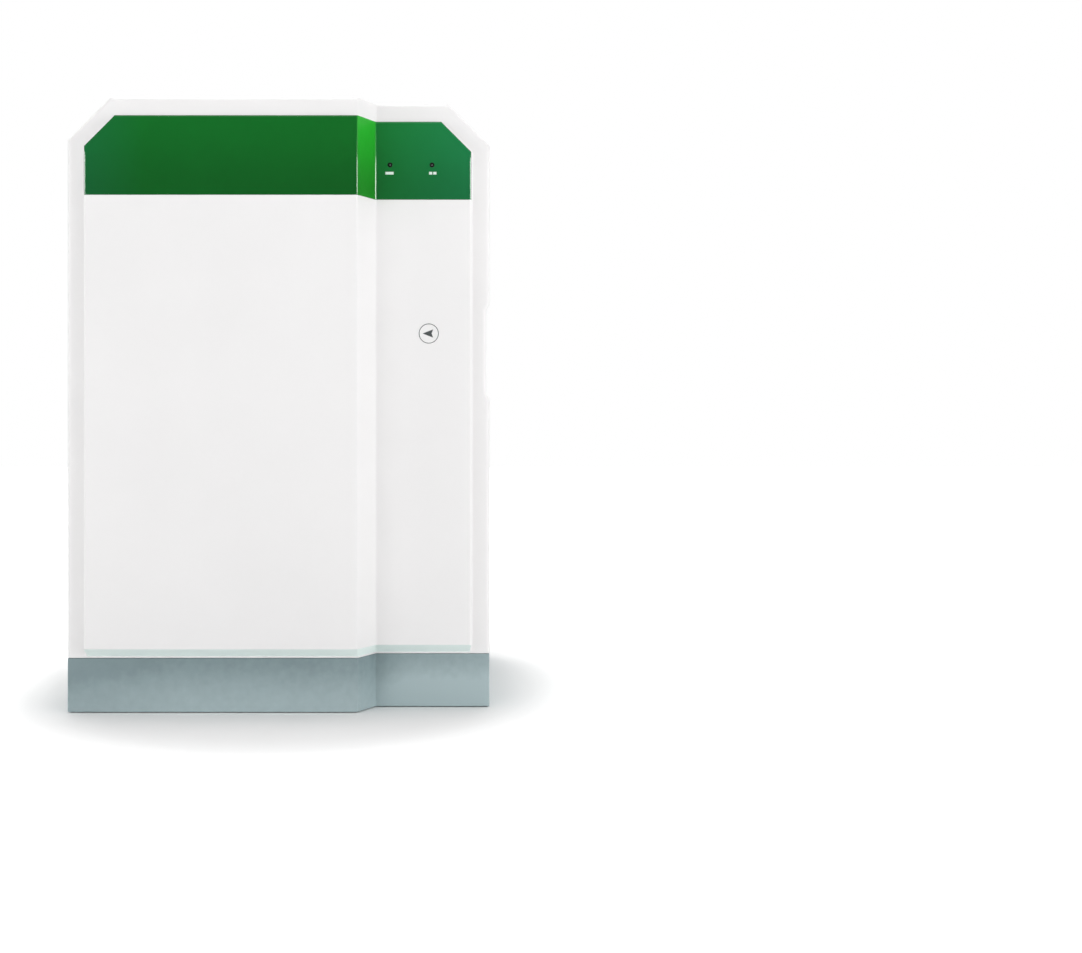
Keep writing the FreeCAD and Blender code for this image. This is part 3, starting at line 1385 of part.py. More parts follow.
def sub_parts():
    """Every sub-part by name."""
    parts = {}
    parts["base_plinth"], parts["chassis_plate"], parts["rubber_feet"] = plinth()
    parts["cabinet_shell"] = cabinet_shell()
    parts["front_frame"] = front_frame()
    parts["rear_panel"] = rear_panel()
    parts["panel_screws"] = panel_screws()
    parts["rear_bumpers"] = rear_bumpers()
    parts["chamber_liner"], parts["insulation_jacket"] = chamber()
    parts["rear_bulkhead"] = bay_sheet(JACKET_BACK, BAY_FRONT)
    left, right, rods, bushes = rack()
    parts["rack_plate_left"] = left
    parts["rack_plate_right"] = right
    parts["rack_tie_rods"] = rods
    parts["axle_bushes"] = bushes
    for row, z in enumerate(AXLE_HEIGHTS):
        parts[f"tray_{row + 1}"] = tray(z)
        parts[f"sensor_board_{row + 1}"] = sensor_board(z)
    parts["link_bar"] = link_bar()
    parts["link_guides"] = link_guides()
    parts["rock_motor"], parts["drive_pinion"] = drive()
    parts["air_baffle"] = air_baffle()
    circulation = (FAN_SIZE, FAN_THICKNESS, FAN_HUB, 0.0, BAFFLE_BACK, FAN_Z)
    parts["circulation_fan_frame"] = fan_frame(*circulation)
    parts["circulation_fan_rotor"] = fan_rotor(*circulation)
    parts["heater_element"] = heater()
    parts["temperature_probe"] = temperature_probe()
    parts["control_board"] = control_board()
    parts["power_supply"] = power_supply()
    exhaust_front = BAY_BACK - EXHAUST_THICKNESS
    exhaust = (EXHAUST_SIZE, EXHAUST_THICKNESS, EXHAUST_HUB, EXHAUST_X, exhaust_front, EXHAUST_Z)
    parts["exhaust_fan_frame"] = fan_frame(*exhaust)
    parts["exhaust_fan_rotor"] = fan_rotor(*exhaust)
    parts["fan_guard"] = fan_guard()
    parts["power_inlet"] = power_inlet()
    parts["switch_body"], parts["power_rocker"] = power_switch()
    parts["data_ports"] = data_ports()
    parts["door_shell"], parts["door_fascia"] = door_front()
    parts["door_liner"], parts["door_foam"] = door_back()
    parts["door_gasket"] = door_gasket()
    parts["door_magnets"], parts["strike_plates"] = latches()
    parts["hinge_brackets"], parts["hinge_knuckles"], parts["hinge_pins"] = hinges()
    parts["led_bezels"], parts["indicator_leds"], parts["led_board"] = indicators()
    return parts


def write(parts):
    """Write one STEP file for each sub-part."""
    os.makedirs("parts", exist_ok=True)
    for name, shape in parts.items():
        solids = shape if isinstance(shape, list) else [shape]
        group = Part.makeCompound([solid for piece in solids for solid in piece.Solids])
        box = group.BoundBox
        print(
            f"{name}: {len(group.Solids)} solids, volume {group.Volume / 1000.0:.1f} cm3,"
            f" valid {group.isValid()}, X {box.XMin:.1f} {box.XMax:.1f},"
            f" Y {box.YMin:.1f} {box.YMax:.1f}, Z {box.ZMin:.1f} {box.ZMax:.1f}"
        )
        group.exportStep(f"parts/{name}.step")


write(sub_parts())
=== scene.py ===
import json
import logging
import math
from dataclasses import dataclass, replace
from enum import Enum
from typing import Any, Callable, Optional, Sequence

import bmesh
import bpy
import numpy as np
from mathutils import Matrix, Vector


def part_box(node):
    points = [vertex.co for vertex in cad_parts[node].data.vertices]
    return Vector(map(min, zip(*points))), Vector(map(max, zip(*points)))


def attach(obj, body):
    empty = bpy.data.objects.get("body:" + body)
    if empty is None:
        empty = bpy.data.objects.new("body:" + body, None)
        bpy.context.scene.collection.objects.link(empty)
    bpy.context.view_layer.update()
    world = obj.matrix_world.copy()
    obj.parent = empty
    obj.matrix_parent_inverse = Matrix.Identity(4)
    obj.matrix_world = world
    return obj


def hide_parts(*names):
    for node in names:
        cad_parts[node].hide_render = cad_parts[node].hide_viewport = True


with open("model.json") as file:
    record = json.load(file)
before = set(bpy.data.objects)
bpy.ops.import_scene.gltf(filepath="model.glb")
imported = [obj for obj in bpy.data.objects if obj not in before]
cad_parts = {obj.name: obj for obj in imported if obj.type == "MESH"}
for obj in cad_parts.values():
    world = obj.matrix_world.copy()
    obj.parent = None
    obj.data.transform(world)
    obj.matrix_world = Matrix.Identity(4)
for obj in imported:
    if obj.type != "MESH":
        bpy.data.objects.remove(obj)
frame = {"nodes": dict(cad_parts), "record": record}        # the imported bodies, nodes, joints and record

# Looks of a bench-top automated blood culture cabinet. Sizes are millimetres until a mesh is written.
# +Z is up, the door faces -Y and +X is the viewer's right.

LOG = logging.getLogger("cabinet")
MM = 0.001
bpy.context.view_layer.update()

# X where the slanted strip of the front starts, and its width along X
STRIP_LEFT = 93.0
STRIP_RUN = 20.0

# Thickness of a printed mark, and how deep its foot sits in the surface
INK_THICK = 0.12
INK_SUNK = 0.05

# Degrees past which an edge is shaded sharp
SHARP_ANGLE = 32.0

# Metres within which two corners of a CAD mesh are one
SAME_CORNER = 2e-6

Rgb = tuple[float, float, float]
Span = tuple[float, float]
Shape = tuple[np.ndarray, Sequence[Sequence[int]]]


def node_box(name: str) -> tuple[np.ndarray, np.ndarray]:
    """Lowest and highest corner of a CAD node in millimetres."""
    low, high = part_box(name)
    return np.array(low) / MM, np.array(high) / MM


def metres(*lengths: float) -> list[float]:
    """Millimetres as metres."""
    return [length * MM for length in lengths]


def linear(red: int, green: int, blue: int) -> Rgb:
    """Scene-linear colour of an 8-bit display colour.

    Each channel c in 0..1 becomes c / 12.92 where it is dark and ((c + 0.055) / 1.055) to the power 2.4
    elsewhere.

    Args:
        red: red channel, 0 to 255.
        green: green channel.
        blue: blue channel.

    Returns:
        The three linear channels.
    """
    channels = np.array([red, green, blue]) / 255.0
    low = channels / 12.92
    high = ((channels + 0.055) / 1.055) ** 2.4
    return tuple(float(c) for c in np.where(channels <= 0.04045, low, high))


# Shader building


class Weave(Enum):
    """How a finish's fine grain runs: how many times longer it is along X, Y and Z."""

    EVEN = (1.0, 1.0, 1.0)
    ALONG_X = (60.0, 1.0, 1.0)
    ALONG_Z = (1.0, 1.0, 60.0)


class Number:
    """A shader socket that Python's operators turn into Math nodes."""

    def __init__(self, shader: "Shader", socket: bpy.types.NodeSocket) -> None:
        """Wraps one output socket of a shader."""
        self.shader = shader
        self.socket = socket

    def _maths(self, operation: str, first: Any, second: Any) -> "Number":
        """One Math node on two values."""
        return self.shader.node("ShaderNodeMath", {"operation": operation}, {0: first, 1: second})

    def __add__(self, other: Any) -> "Number":
        """Sum."""
        return self._maths("ADD", self, other)

    __radd__ = __add__

    def __sub__(self, other: Any) -> "Number":
        """Difference."""
        return self._maths("SUBTRACT", self, other)

    def __rsub__(self, other: Any) -> "Number":
        """Difference with the number first."""
        return self._maths("SUBTRACT", other, self)

    def __mul__(self, other: Any) -> "Number":
        """Product."""
        return self._maths("MULTIPLY", self, other)

    __rmul__ = __mul__

    def __truediv__(self, other: Any) -> "Number":
        """Quotient."""
        return self._maths("DIVIDE", self, other)

    def above(self, low: float, high: float) -> "Number":
        """0 below low, 1 above high and smooth between them."""
        inputs = {"Value": self, "From Min": low, "From Max": high}
        return self.shader.node("ShaderNodeMapRange", {"interpolation_type": "SMOOTHSTEP"}, inputs)

    def within(self, low: float, high: float, outside: float, inside: float) -> "Number":
        """1 between low and high and 0 elsewhere.

        Args:
            low: lower end of the span.
            high: upper end of the span.
            outside: how far past each end the soft edge starts.
            inside: how far inside each end the soft edge is over.

        Returns:
            The product of a rise at the lower end and a fall at the upper one.
        """
        rise = self.above(low - outside, low + inside)
        return rise * (1.0 - self.above(high - inside, high + outside))


class Shader:
    """A material or world that is being built."""

    def __init__(self, owner: bpy.types.ID) -> None:
        """Empties the owner's node tree.

        Args:
            owner: a material or a world.
        """
        owner.use_nodes = True
        self.tree = owner.node_tree
        self.tree.nodes.clear()

    def feed(self, socket: bpy.types.NodeSocket, value: Any) -> None:
        """Links or sets one input socket.

        Args:
            socket: the input.
            value: a Number, or a number or tuple that the socket holds by itself.
        """
        if isinstance(value, Number):
            self.tree.links.new(value.socket, socket)
        elif socket.type == "RGBA" and len(value) == 3:
            socket.default_value = (*value, 1.0)
        else:
            socket.default_value = value

    def node(
        self, kind: str, settings: dict[str, Any], inputs: dict[Any, Any], out: Any = 0
    ) -> Number:
        """Adds any node and gives one of its outputs.

        Args:
            kind: the node's type.
            settings: attributes that are set first; stops are a ramp's (place, colour) pairs.
            inputs: values or links by socket name or number.
            out: name or number of the output to give.

        Returns:
            The wrapped output; an output node has none.
        """
        made = self.tree.nodes.new(kind)
        for name, value in settings.items():
            if name == "stops":
                ramp = made.color_ramp
                while len(ramp.elements) < len(value):
                    ramp.elements.new(1.0)
                for element, (place, colour) in zip(ramp.elements, value):
                    element.position = place
                    element.color = (*colour, 1.0)
            else:
                setattr(made, name, value)
        for name, value in inputs.items():
            self.feed(made.inputs[name], value)
        return Number(self, made.outputs[out] if made.outputs else None)

    def place(self) -> Number:
        """Object coordinates in metres."""
        return self.node("ShaderNodeTexCoord", {}, {}, "Object")

    def axes(self, vector: Number) -> tuple[Number, Number, Number]:
        """The X, Y and Z numbers of a vector."""
        first = self.node("ShaderNodeSeparateXYZ", {}, {0: vector}, 0)
        outs = first.socket.node.outputs
        return first, Number(self, outs[1]), Number(self, outs[2])

    def grey(self, level: Number) -> Number:
        """Colour whose three channels are one number."""
        return self.node("ShaderNodeCombineXYZ", {}, {0: level, 1: level, 2: level})

    def noise(self, size: float, detail: float, seed: float, weave: Weave = Weave.EVEN) -> Number:
        """Noise from 0 to 1.

        Args:
            size: width of a patch in millimetres.
            detail: number of finer layers.
            seed: place in the fourth dimension.
            weave: how the patches are drawn out.

        Returns:
            The noise.
        """
        scale = tuple(1.0 / (size * MM * stretch) for stretch in weave.value)
        spot = self.node("ShaderNodeMapping", {}, {"Vector": self.place(), "Scale": scale})
        inputs = {"Vector": spot, "W": seed, "Scale": 1.0, "Detail": detail}
        return self.node("ShaderNodeTexNoise", {"noise_dimensions": "4D"}, inputs)

    def mix(self, share: Any, first: Any, second: Any, blend: str = "MIX") -> Number:
        """Colour between two colours, which are the Mix node's inputs 6 and 7 and its output 2."""
        settings = {"data_type": "RGBA", "blend_type": blend}
        return self.node("ShaderNodeMix", settings, {0: share, 6: first, 7: second}, 2)

    def bump(self, height: Number, depth: float, under: Optional[Number]) -> Number:
        """Normal of a surface raised by its grain.

        Args:
            height: the grain, from 0 to 1.
            depth: height of the grain in millimetres.
            under: normal that the grain lies on, or None for the surface's own.

        Returns:
            The normal.
        """
        inputs = {"Height": height, "Distance": depth * MM, "Strength": 1.0}
        if under is not None:
            inputs["Normal"] = under
        return self.node("ShaderNodeBump", {}, inputs)

    def surface(self, inputs: dict[str, Any]) -> None:
        """Principled surface with the given inputs, joined to the output."""
        skin = self.node("ShaderNodeBsdfPrincipled", {}, inputs)
        self.node("ShaderNodeOutputMaterial", {}, {"Surface": skin})


@dataclass(frozen=True)
class Finish:
    """One surface finish: its colour, gloss and grain.

    Colours are linear. tone is the share by which the colour drifts over patches of tone_size, grain the
    share by which it drifts over grain_size, relief the grain's height, and edge the width over which a
    sharp edge catches the light as a rounded one does. sheen_spread is how far the roughness drifts.
    """

    name: str
    colour: Rgb
    roughness: float = 0.45
    metallic: float = 0.0
    coat: float = 0.0
    coat_roughness: float = 0.08
    specular: float = 0.5
    tone: float = 0.04
    tone_size: float = 70.0
    tone_detail: float = 3.0
    tone_seed: float = 1.7
    tone_span: Span = (0.3, 0.7)
    grain: float = 0.03
    grain_size: float = 1.2
    grain_detail: float = 4.0
    grain_seed: float = 4.2
    relief: float = 0.01
    sheen_spread: float = 0.06
    weave: Weave = Weave.EVEN
    edge: float = 0.0
    edge_samples: int = 4

    def colour_of(self, shader: Shader, patches: Number, grain: Number) -> Number:
        """Base colour, drifting with the patches and the grain.

        Args:
            shader: the shader that is being built.
            patches: large patches, from 0 to 1.
            grain: fine grain, from 0 to 1.

        Returns:
            The colour.
        """
        light = tuple(min(1.0, c * (1.0 + self.tone)) for c in self.colour)
        dark = tuple(c * (1.0 - self.tone) for c in self.colour)
        drift = shader.mix(patches, dark, light)
        speck = shader.mix(grain, (1.0 - self.grain,) * 3, (1.0, 1.0, 1.0))
        return shader.mix(1.0, drift, speck, "MULTIPLY")

    def gloss_of(self, shader: Shader) -> tuple[Any, Any]:
        """Coat weight and what is added to the roughness."""
        return self.coat, 0.0

    def material(self) -> bpy.types.Material:
        """The finish as a material, made once.

        Returns:
            The material.
        """
        key = f"{self.name}_finish"
        known = bpy.data.materials.get(key)
        if known is not None:
            return known
        made = bpy.data.materials.new(key)
        shader = Shader(made)
        patches = shader.noise(self.tone_size, self.tone_detail, self.tone_seed).above(*self.tone_span)
        grain = shader.noise(self.grain_size, self.grain_detail, self.grain_seed, self.weave)
        under = None
        if self.edge:
            under = shader.node(
                "ShaderNodeBevel", {"samples": self.edge_samples}, {"Radius": self.edge * MM}
            )
        coat, matt = self.gloss_of(shader)
        shader.surface(
            {
                "Base Color": self.colour_of(shader, patches, grain),
                "Roughness": self.roughness + (patches + grain - 1.0) * self.sheen_spread + matt,
                "Metallic": self.metallic,
                "Coat Weight": coat,
                "Coat Roughness": self.coat_roughness,
                "Specular IOR Level": self.specular,
                "Normal": shader.bump(grain, self.relief, under),
            }
        )
        return made


@dataclass(frozen=True)
class FasciaGreen(Finish):
    """Glossy green of the fascia, brighter over the slanted strip with painted light and cooler towards
    its ends with painted reflections.

    reach is half the band's length and heights its lower and upper edge. ends are the colours at the left
    end, over the middle, just right of the strip and at the right end; they hold the painted reflections.
    strip is the slanted strip's painted lit colour. At the lower edge the colour is darker by painted
    shade of the share fall, or strip_fall on the strip, and up to the upper edge it gains painted light of
    lift times that share. speckle is the share of the plain colour's drift that shows. The skin is a
    matter surface that hides the coat where it would mirror a hard line.
    """

    strip: Rgb = (0.0, 0.0, 0.0)
    strip_span: Span = (STRIP_LEFT, STRIP_LEFT + STRIP_RUN)
    strip_soft: float = 1.2
    reach: float = 230.0
    heights: Span = (610.0, 700.2)
    fall: float = 0.20
    strip_fall: float = 0.36
    lift: float = 1.5
    speckle: float = 0.3
    skin_soft: float = 0.6
    skin_cover: float = 0.95
    skin_roughness: float = 0.35
    ends: tuple[tuple[float, Rgb], ...] = ()

    def gloss_of(self, shader: Shader) -> tuple[Any, Any]:
        """Full gloss, but a matter skin between the strip's two turns and along the rounded top edge.

        Args:
            shader: the shader that is being built.

        Returns:
            Coat weight and what is added to the roughness.
        """
        across, _, up = shader.axes(shader.place())
        left, right, top, soft = metres(*self.strip_span, self.heights[1], self.skin_soft)
        between = across.within(left, right, 0.0, soft)
        skin = 1.0 - (1.0 - between) * (1.0 - up.above(top - soft, top))
        return (1.0 - skin * self.skin_cover) * self.coat, skin * self.skin_roughness

    def colour_of(self, shader: Shader, patches: Number, grain: Number) -> Number:
        """Base colour with painted reflections along the band and the strip's painted light.

        The place along the band, 0 at the left end and 1 at the right one, picks the colour of the painted
        reflections; between the strip's two edges the strip's painted lit colour takes over; and all of it
        grows paler with height, over painted shade at the lower edge.

        Args:
            shader: the shader that is being built.
            patches: large patches, from 0 to 1.
            grain: fine grain, from 0 to 1.

        Returns:
            The colour.
        """
        speck = super().colour_of(shader, patches, grain)
        across, _, up = shader.axes(shader.place())
        along = across / (2.0 * self.reach * MM) + 0.5
        # Colours along the band that hold painted reflections, cooler towards the ends
        band = shader.node("ShaderNodeValToRGB", {"stops": self.ends}, {"Fac": along})
        left, right, soft = metres(*self.strip_span, self.strip_soft)
        # Between the strip's edges its painted lit colour takes over
        mask = across.within(left, right, soft, soft)
        hue = shader.mix(mask, shader.mix(self.speckle, band, speck), self.strip)
        # Painted shade at the lower edge, growing paler upwards
        height = up.above(*metres(*self.heights))
        fall = mask * (self.strip_fall - self.fall) + self.fall
        pale = 1.0 - fall * (1.0 - height * self.lift)
        return shader.mix(1.0, hue, shader.grey(pale), "MULTIPLY")


@dataclass(frozen=True)
class PlinthGrey(Finish):
    """Soft blue-grey of the plinth, mottled in two sizes, and made paler towards its foot and its right
    end by painted light.

    foot is the paler colour of the painted light and span the heights over which it fades. left_fade and
    right_fade are the X and front_fade the Y over which the painted light of the ends and of the front
    starts or stops.
    """

    foot: Rgb = (0.0, 0.0, 0.0)
    span: Span = (0.0, 66.0)
    painted_foot_light_share: float = 0.9
    painted_foot_light_right_share: float = 0.4
    cloud_size: float = 9.0
    cloud_detail: float = 4.0
    cloud_seed: float = 9.1
    cloud_share: float = 0.5
    left_fade: Span = (-260.0, -100.0)
    right_fade: Span = (105.0, 160.0)
    front_fade: Span = (-210.0, -120.0)
    painted_end_light_share: float = 0.35
    painted_end_light_level: float = 0.32

    def colour_of(self, shader: Shader, patches: Number, grain: Number) -> Number:
        """Base colour, paler low down with painted light, with clouds of two sizes.

        The share of the foot's colour is the sum of painted light that fades with height, which is
        stronger at the right end of the front, the clouds, and painted light that drifts along the front.

        Args:
            shader: the shader that is being built.
            patches: large patches, from 0 to 1.
            grain: fine grain, from 0 to 1.

        Returns:
            The colour.
        """
        flat = super().colour_of(shader, patches, grain)
        across, deep, up = shader.axes(shader.place())
        clouds = shader.noise(self.cloud_size, self.cloud_detail, self.cloud_seed) - 0.5
        left = across.above(*metres(*self.left_fade))
        right = across.above(*metres(*self.right_fade))
        front = 1.0 - deep.above(*metres(*self.front_fade))
        # Painted light along the front: darker at the left end, paler at the right one
        ends = left * self.painted_end_light_share + right * self.painted_end_light_share - self.painted_end_light_level
        # Painted light that makes it paler low down, more so at the right end of the front
        low = 1.0 - up.above(*metres(*self.span))
        foot = low * (self.painted_foot_light_share + right * front * self.painted_foot_light_right_share)
        return shader.mix(foot + clouds * self.cloud_share + ends * front, flat, self.foot)


@dataclass(frozen=True)
class BoardGreen(Finish):
    """Solder mask of a circuit board with paler tracks on a square cell pattern."""

    track: Rgb = (0.05, 0.25, 0.09)
    track_span: Span = (0.36, 0.44)
    pitch: float = 2.4
    scatter: float = 0.35

    def colour_of(self, shader: Shader, patches: Number, grain: Number) -> Number:
        """Base colour, with the track's colour where the distance to a cell's middle passes track_span.

        Args:
            shader: the shader that is being built.
            patches: large patches, from 0 to 1.
            grain: fine grain, from 0 to 1.

        Returns:
            The colour.
        """
        flat = super().colour_of(shader, patches, grain)
        cells = shader.node(
            "ShaderNodeTexVoronoi",
            {"distance": "CHEBYCHEV", "feature": "F1"},
            {"Vector": shader.place(), "Scale": 1.0 / (self.pitch * MM), "Randomness": self.scatter},
            "Distance",
        )
        return shader.mix(cells.above(*self.track_span), flat, self.track)


WHITE = Finish("white_moulding", linear(242, 241, 241), 0.38, specular=0.35, tone=0.008, tone_size=120.0,
               grain=0.012, grain_size=2.4, relief=0.004)
# Greenish, paler copy of the white for the sloping foot: a painted reflection, with painted light where
# the foot faces down.
PAINTED_FOOT_REFLECTION = replace(WHITE, name="foot_bevel_painted_reflection", colour=linear(243, 255, 251), roughness=0.42)
# The fascia's strip colour is painted light on the slanted strip, and its ends hold painted reflections.
GREEN = FasciaGreen("green_fascia", linear(12, 100, 33), 0.15, coat=1.0, coat_roughness=0.05,
                    specular=0.2, tone=0.06, tone_size=40.0, grain=0.06, grain_size=1.6, relief=0.002,
                    sheen_spread=0.03, strip=linear(28, 163, 34),
                    ends=((0.0, linear(22, 108, 60)), (0.16, linear(10, 103, 33)),
                          (0.70, linear(10, 102, 32)), (0.75, linear(22, 121, 54)),
                          (1.0, linear(32, 132, 82))))
# The plinth's foot colour is painted light, paler low down and towards the right end of the front.
PLINTH = PlinthGrey("grey_plinth", linear(132, 151, 155), 0.52, tone=0.04, tone_size=26.0, grain=0.05,
                    grain_size=2.2, relief=0.015, foot=linear(172, 190, 193))
PAINT = Finish("white_paint", linear(238, 239, 238), 0.42, tone=0.01, tone_size=150.0, grain=0.02,
               grain_size=0.9, relief=0.012)
LINER = Finish("white_liner", linear(228, 230, 229), 0.48, tone=0.015, grain=0.02, relief=0.008, edge=1.5)
STEEL = Finish("stainless_sheet", (0.56, 0.57, 0.58), 0.30, 1.0, tone=0.05, grain=0.14, grain_size=0.5,
               relief=0.003, weave=Weave.ALONG_X, sheen_spread=0.05)
ZINC = Finish("zinc_steel", (0.52, 0.53, 0.52), 0.34, 1.0, tone=0.10, tone_size=14.0, grain=0.10,
              grain_size=0.8, relief=0.003, sheen_spread=0.14, edge=0.5)
RUBBER = Finish("black_rubber", (0.028, 0.028, 0.030), 0.72, tone=0.10, grain=0.20, grain_size=0.7,
                relief=0.02, edge=0.6)
SEAL = Finish("grey_seal", (0.20, 0.20, 0.205), 0.62, tone=0.06, grain=0.12, grain_size=0.8,
              relief=0.015, edge=1.2)
FELT = Finish("insulation_felt", (0.50, 0.48, 0.36), 0.95, tone=0.12, tone_size=12.0, grain=0.45,
              grain_size=1.4, relief=0.25, sheen_spread=0.0)
TRAY = Finish("tray_moulding", linear(196, 201, 205), 0.44, tone=0.02, grain=0.04, grain_size=1.0,
              relief=0.008, edge=0.7)
GUIDE = Finish("guide_plastic", linear(214, 213, 204), 0.40, tone=0.02, relief=0.006, edge=0.5)
BRONZE = Finish("bronze", (0.46, 0.27, 0.11), 0.36, 1.0, tone=0.10, tone_size=8.0, grain=0.22,
                grain_size=0.5, relief=0.006, edge=0.3)
ALUMINIUM = Finish("link_aluminium", (0.66, 0.67, 0.68), 0.34, 1.0, tone=0.04, grain=0.10,
                   grain_size=0.5, relief=0.003, weave=Weave.ALONG_Z, sheen_spread=0.12, edge=0.4)
BOARD = BoardGreen("circuit_board", (0.012, 0.11, 0.035), 0.38, tone=0.08, grain=0.08, relief=0.02,
                   edge=0.4)
MOTOR = Finish("motor_black", (0.030, 0.030, 0.032), 0.40, tone=0.10, grain=0.15, relief=0.01, edge=0.6)
SUPPLY = Finish("supply_case", (0.62, 0.63, 0.64), 0.38, 1.0, tone=0.05, grain=0.10, grain_size=0.5,
                relief=0.003, weave=Weave.ALONG_X, sheen_spread=0.12, edge=0.6)
PROBE = Finish("probe_steel", (0.66, 0.66, 0.67), 0.18, 1.0, tone=0.04, grain=0.06, relief=0.002, edge=0.4)
FAN = Finish("fan_black", (0.026, 0.026, 0.028), 0.46, tone=0.10, grain=0.15, relief=0.01, edge=0.6)
FITTING = Finish("fitting_black", (0.006, 0.006, 0.007), 0.26, specular=0.3, tone=0.10, grain=0.12,
                 relief=0.006, edge=0.4)
LENS = Finish("lamp_lens", (0.006, 0.016, 0.009), 0.08, coat=1.0, coat_roughness=0.03, tone=0.05,
              grain=0.02, relief=0.001)
MAGNET = Finish("magnet_case", (0.20, 0.20, 0.21), 0.36, 0.6, tone=0.08, grain=0.10, relief=0.004,
                edge=0.5)
INK_DARK = Finish("ink_dark", linear(72, 78, 78), 0.55, tone=0.06, grain=0.10, grain_size=0.4,
                  relief=0.002)
INK_WHITE = Finish("ink_white", linear(226, 240, 232), 0.50, tone=0.03, grain=0.06, grain_size=0.4,
                   relief=0.002)

SLOT_FINISH = {finish.name: finish for finish in (
    WHITE, GREEN, PLINTH, PAINT, LINER, STEEL, ZINC, RUBBER, SEAL, FELT, TRAY, GUIDE, BRONZE, ALUMINIUM,
    BOARD, MOTOR, SUPPLY, PROBE, FAN, FITTING, LENS, MAGNET)}


# Mesh building


def linked(name: str, data: Any) -> bpy.types.Object:
    """New object with the given data, in the scene."""
    made = bpy.data.objects.new(name, data)
    bpy.context.scene.collection.objects.link(made)
    return made


def shade(mesh: bpy.types.Mesh) -> None:
    """Shades a mesh smooth, apart from its sharp edges."""
    mesh.shade_smooth()
    mesh.set_sharp_from_angle(angle=math.radians(SHARP_ANGLE))


def close_mesh(mesh: bpy.types.Mesh) -> None:
    """Merges doubles, drops faces without area and points the others outwards.

    Args:
        mesh: the mesh, in metres.
    """
    same_point = 1e-7
    no_length = 1e-8
    work = bmesh.new()
    work.from_mesh(mesh)
    bmesh.ops.remove_doubles(work, verts=work.verts, dist=same_point)
    bmesh.ops.dissolve_degenerate(work, edges=work.edges, dist=no_length)
    bmesh.ops.recalc_face_normals(work, faces=work.faces)
    work.to_mesh(mesh)
    work.free()


def write_piece(
    name: str, shape: Shape, finishes: Sequence[Finish], second: Optional[np.ndarray] = None
) -> bpy.types.Object:
    """Closed mesh object from points in millimetres.

    Args:
        name: the piece's name.
        shape: N by 3 places, and the vertex numbers of each face.
        finishes: one finish, or two where some faces take the second.
        second: True for each face that takes the second finish.

    Returns:
        The object, at the origin.
    """
    points, faces = shape
    mesh = bpy.data.meshes.new(name)
    mesh.from_pydata(points * MM, [], [tuple(int(i) for i in face) for face in faces])
    for finish in finishes:
        mesh.materials.append(finish.material())
    if second is not None:
        mesh.polygons.foreach_set("material_index", second.astype(np.int32))
    close_mesh(mesh)
    shade(mesh)
    return linked(name, mesh)


def weigh_normals(piece: bpy.types.Object) -> None:
    """Lets large flat faces keep their own normal beside small rounded ones."""
    modifier = piece.modifiers.new("weighted", "WEIGHTED_NORMAL")
    modifier.keep_sharp = True
    modifier.weight = 100


def settled_mesh(piece: bpy.types.Object) -> bpy.types.Mesh:
    """New mesh that is what an object's modifiers or text make of it."""
    bpy.context.view_layer.update()
    shown = piece.evaluated_get(bpy.context.evaluated_depsgraph_get())
    return bpy.data.meshes.new_from_object(shown)


def apply_cut(piece: bpy.types.Object, cutter: bpy.types.Object) -> None:
    """Subtracts a cutter from a piece, keeps the result as its mesh and removes the cutter.

    Args:
        piece: the closed body that is cut.
        cutter: the closed body that is taken away.
    """
    modifier = piece.modifiers.new("cut", "BOOLEAN")
    modifier.operation = "DIFFERENCE"
    modifier.solver = "EXACT"
    modifier.object = cutter
    mesh = settled_mesh(piece)
    piece.modifiers.clear()
    piece.data = mesh
    shade(mesh)
    bpy.data.objects.remove(cutter)


def seat(piece: bpy.types.Object, body: str, slot: str, *nodes: str) -> bpy.types.Object:
    """Makes a piece ride on a body and stand for CAD nodes.

    Args:
        piece: the piece.
        body: the body it rides on.
        slot: its material slot; not used.
        nodes: the CAD nodes it replaces.

    Returns:
        The piece.
    """
    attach(piece, body)
    if nodes:
        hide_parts(*nodes)
    LOG.info("%s rides on %s and replaces %s", piece.name, body, ", ".join(nodes) or "nothing")
    return piece


def strip_faces(rings: int, count: int) -> np.ndarray:
    """Quads between successive closed rings.

    Args:
        rings: number of rings.
        count: points in each ring.

    Returns:
        Four vertex numbers for each quad, ring by ring.
    """
    ring, spot = np.meshgrid(np.arange(rings - 1), np.arange(count), indexing="ij")
    after = (spot + 1) % count
    low = ring * count
    quads = np.stack([low + spot, low + after, low + count + after, low + count + spot], axis=-1)
    return quads.reshape(-1, 4)


def lofted(lines: np.ndarray, ring: bool = False) -> Shape:
    """Closed body whose successive closed lines are joined by quads.

    Args:
        lines: lines by points by 3 places.
        ring: True to join the last line to the first one, False to fill both of them.

    Returns:
        Points and faces.
    """
    rings, count = lines.shape[:2]
    faces = strip_faces(rings, count).tolist()
    spot = np.arange(count)
    last = (rings - 1) * count + spot
    if ring:
        after = (spot + 1) % count
        faces.extend(np.stack([last, last[after], after, spot], axis=-1).tolist())
    else:
        faces.extend([spot.tolist(), last.tolist()])
    return lines.reshape(-1, 3), faces


